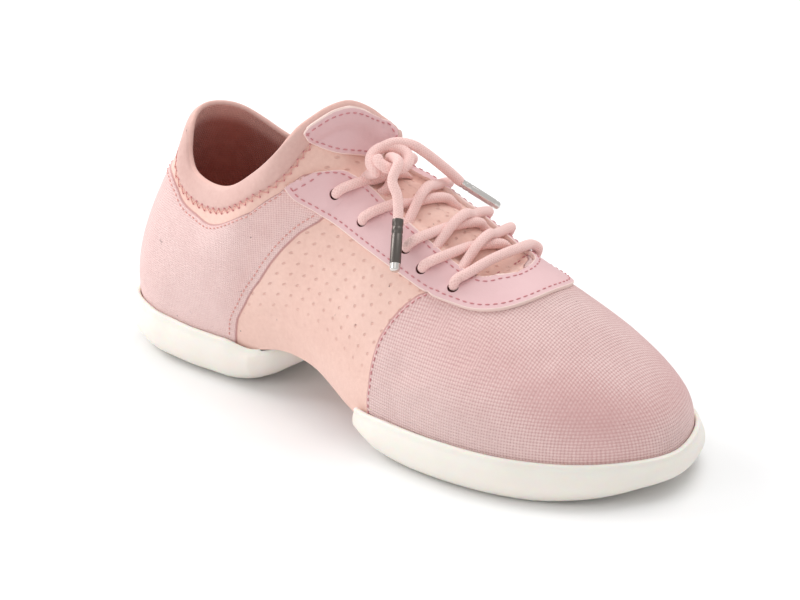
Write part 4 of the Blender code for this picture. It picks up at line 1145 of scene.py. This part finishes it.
def sole_side(t, side, narrow):
    """One side of a sole's section from the bottom of its cup over the lip and down to the tread, mm."""
    at = foot(t, side)
    out = outward(t, side)
    full = 1.0 if t <= TIP_FROM or t >= 10 else max(0.0, 1 - (t - TIP_FROM) / 1.1)
    cup = 4.5 if t >= 10 else 4.5 * float(soft_step(np.array(6.9 - t), 2.0))
    clear = 0.75 * full
    lip = 2.0 * (0.4 + 0.6 * cup / 4.5) * full
    rise = (top(t, side) - at).length
    wall = last_point(t, side, cup / rise * 0.75)
    wall = Vector((wall.x, wall.y, at.z + (cup if cup > 0 else -0.8))) + out * clear
    low = float(np.mean([np.interp(at.x + HEEL_X + near, *zip(*TREAD)) for near in (-5, -2.5, 0, 2.5, 5)]))
    low = 0.0 if low < 0.12 else low
    height = at.z - 0.8 - low
    belly = 2.4 * min(1.0, height / 8) * full
    inset = min(12.0 if t < 10 else 8.5, height * (0.95 if t < 10 else 0.75))
    edge = wall + out * lip
    fat = at + out * (clear + lip + belly) - Vector((0, 0, 0.8 + height * 0.28))
    tread = at + out * (clear + lip + belly * 0.55 - inset) - Vector((0, 0, 0.8 + height))
    points = [at + out * clear - Vector((0, 0, 0.8)), wall - Vector((0, 0, 0.7 * cup / 4.5)),
              wall + out * lip * 0.12,
              wall + out * lip * 0.35 + Vector((0, 0, 0.25)), wall + out * lip * 0.7 + Vector((0, 0, 0.15))]
    bulge = edge.lerp(fat, 0.42) + out * 0.15 * full
    points += [edge - Vector((0, 0, 0.35)), edge.lerp(fat, 0.18) - out * 0.25 * full,
               edge.lerp(fat, 0.30) - out * 0.2 * full, bulge]
    belly_out = fat + out * belly * 0.5 - Vector((0, 0, height * 0.12))
    corner = Vector((fat.x, fat.y, tread.z)) + out * belly * 0.1
    for n in range(1, 13):
        u = n / 12
        v = 1 - u
        points.append(bulge * v ** 3 + belly_out * 3 * u * v * v
                      + corner.lerp(tread, 0.12) * 3 * u * u * v + tread * u ** 3)
    for point in points:
        point.y *= narrow
    return points


rubber, tree, shader = new_paint("white sole rubber", Subsurface_Weight=0.35, Subsurface_Scale=0.004)
off_white = blend(tree, noise(tree, 0.018, 3.0), colour(236, 230, 221), colour(244, 239, 231))
link(tree, off_white, shader.inputs["Base Color"])
link(tree, sums(tree, "MULTIPLY_ADD", noise(tree, 0.004), 0.15, 0.42), shader.inputs["Roughness"])
ahead, across = parts_of(tree, object_place(tree))[:2]
below = over(tree, -0.6, -0.9, cloth_way(tree)[2])
bow = sums(tree, "ADD", ahead, times(tree, times(tree, across, across), 6.0))
grooves = times(tree, over(tree, 0.2, 0.7, waves(tree, bow, 0.0042)), below)
normal = relief(tree, sums(tree, "SUBTRACT", 1.0, grooves), 0.0010)
link(tree, relief(tree, noise(tree, 0.0012), 0.00006, normal), shader.inputs["Normal"])


def sole(name, start, end, tipped, node):
    """A sole unit from one rib to another; the tipped one narrows to a point."""
    count = round((end - start) * 16)
    rings = []
    for k in range(count + 1):
        t = start + (end - start) * k / count
        narrow = 1.0
        if tipped and t > TIP_FROM:
            narrow = max(0.02, 0.999 * (1 - ((t - TIP_FROM) / (TIP_END - TIP_FROM + 0.05)) ** 2.4) ** 0.5)
        outer, inner = sole_side(t, OUT, narrow), sole_side(t, IN, narrow)
        tread = [outer[-1].lerp(inner[-1], n / 8) for n in range(1, 8)]
        floor_line = [inner[0].lerp(outer[0], n / 8) for n in range(1, 8)]
        rings.append([tuple(p / 1000) for p in outer + tread + inner[::-1] + floor_line])
    size = len(rings[0])
    verts = [p for ring in rings for p in ring]
    faces = [(r * size + n, r * size + (n + 1) % size, (r + 1) * size + (n + 1) % size, (r + 1) * size + n)
             for r in range(count) for n in range(size)]
    faces += [tuple(range(size))[::-1], tuple(range(count * size, count * size + size))]
    mesh = bpy.data.meshes.new(name)
    mesh.from_pydata(verts, [], faces)
    fit(put(name, welded(mesh), [rubber], 45), node)


sole("heel_sole", 0, TIP_END, True, "outsole_heel")
sole("forefoot_sole", 11.14, LAST, False, "outsole_forefoot")


# Underside: the lasted cloth turned in below the foot, with the bare arch between the soles; and the
# insole, a 3.5 mm foam sheet under the same dark red lining, slightly cupped at its edge.
def footbed(name, lower, upper_lift, inset, first, last, material, crown):
    """A sheet below the foot between two ribs, set in from the feather line, its top raised at the edges."""
    verts, faces = [], []
    stations = np.linspace(first, last, int((last - first) * 9) + 1)
    shares = np.linspace(0, 1, 25)
    for level_share in (0, 1):
        for t in stations:
            ends = []
            for side in (OUT, IN):
                out = outward(t, side)
                at = foot(t, side)
                ends.append(at - out * inset + Vector((0, 0, lower + level_share * upper_lift)))
            for share in shares:
                spot = ends[0].lerp(ends[1], share)
                cup = crown * (2 * share - 1) ** 4 if level_share else 0
                spot.z += cup
                verts.append(tuple(spot / 1000))
    across_count = len(shares)
    back = len(stations) * across_count
    for r in range(len(stations) - 1):
        for n in range(across_count - 1):
            a = r * across_count + n
            faces.append((a, a + 1, a + 1 + across_count, a + across_count))
            faces.append((back + a, back + a + across_count, back + a + 1 + across_count, back + a + 1))
        for n in (0, across_count - 1):
            a = r * across_count + n
            faces.append((a, a + across_count, back + a + across_count, back + a))
    for r in (0, len(stations) - 1):
        for n in range(across_count - 1):
            a = r * across_count + n
            faces.append((a, a + 1, back + a + 1, back + a))
    mesh = bpy.data.meshes.new(name)
    mesh.from_pydata(verts, [], faces)
    return fit(put(name, welded(mesh), [material], 50))


insole = footbed("insole_lined", 2.4, 3.4, 2.9, 0.3, 16.7, lining, 0.8)
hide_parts("insole")
footbed("lasted_underside", -0.2, 1.6, 0.6, 0.3, 16.7, rim_cloth, 0.0)


# Floor and light: a pale glossy board, 8 m wide so that no edge shows, under a large soft light box, as in a
# product picture. Smaller boxes at the front, the heel and the outer side fill the shadows.
board = bpy.data.meshes.new("floor")
board.from_pydata([(-4, -4, 0), (4, -4, 0), (4, 4, 0), (-4, 4, 0)], [], [(0, 1, 2, 3)])
gloss = new_paint("glossy white board", Base_Color=(0.94, 0.94, 0.94), Roughness=0.16, Specular_IOR_Level=0.5)[0]
put("floor", board, [gloss])

sky = bpy.data.worlds.new("studio")
bpy.context.scene.world = sky
sky.use_nodes = True
sky.node_tree.nodes["Background"].inputs["Color"].default_value = (1.0, 1.0, 1.0, 1)
sky.node_tree.nodes["Background"].inputs["Strength"].default_value = 0.72


def light_box(name, place, target, size, watts):
    lamp = bpy.data.lights.new(name, "AREA")
    lamp.shape = "RECTANGLE"
    lamp.size, lamp.size_y = size
    lamp.energy = watts
    box = bpy.data.objects.new(name, lamp)
    box.location = place
    box.rotation_euler = (Vector(target) - Vector(place)).to_track_quat("-Z", "Y").to_euler()
    bpy.context.scene.collection.objects.link(box)


light_box("light_over", (0.15, 0.55, 1.25), (0.1, 0, 0.04), (1.2, 0.9), 7.5)
light_box("light_front", (0.9, -0.9, 0.8), (0.1, 0, 0.04), (0.8, 0.8), 1.0)
light_box("light_heel", (-1.0, -0.2, 0.7), (0.05, 0, 0.05), (0.7, 0.7), 8)
light_box("light_side", (-0.5, -1.3, 0.6), (0.06, 0, 0.04), (0.7, 0.7), 3.2)
bpy.context.scene.view_settings.view_transform = "Standard"
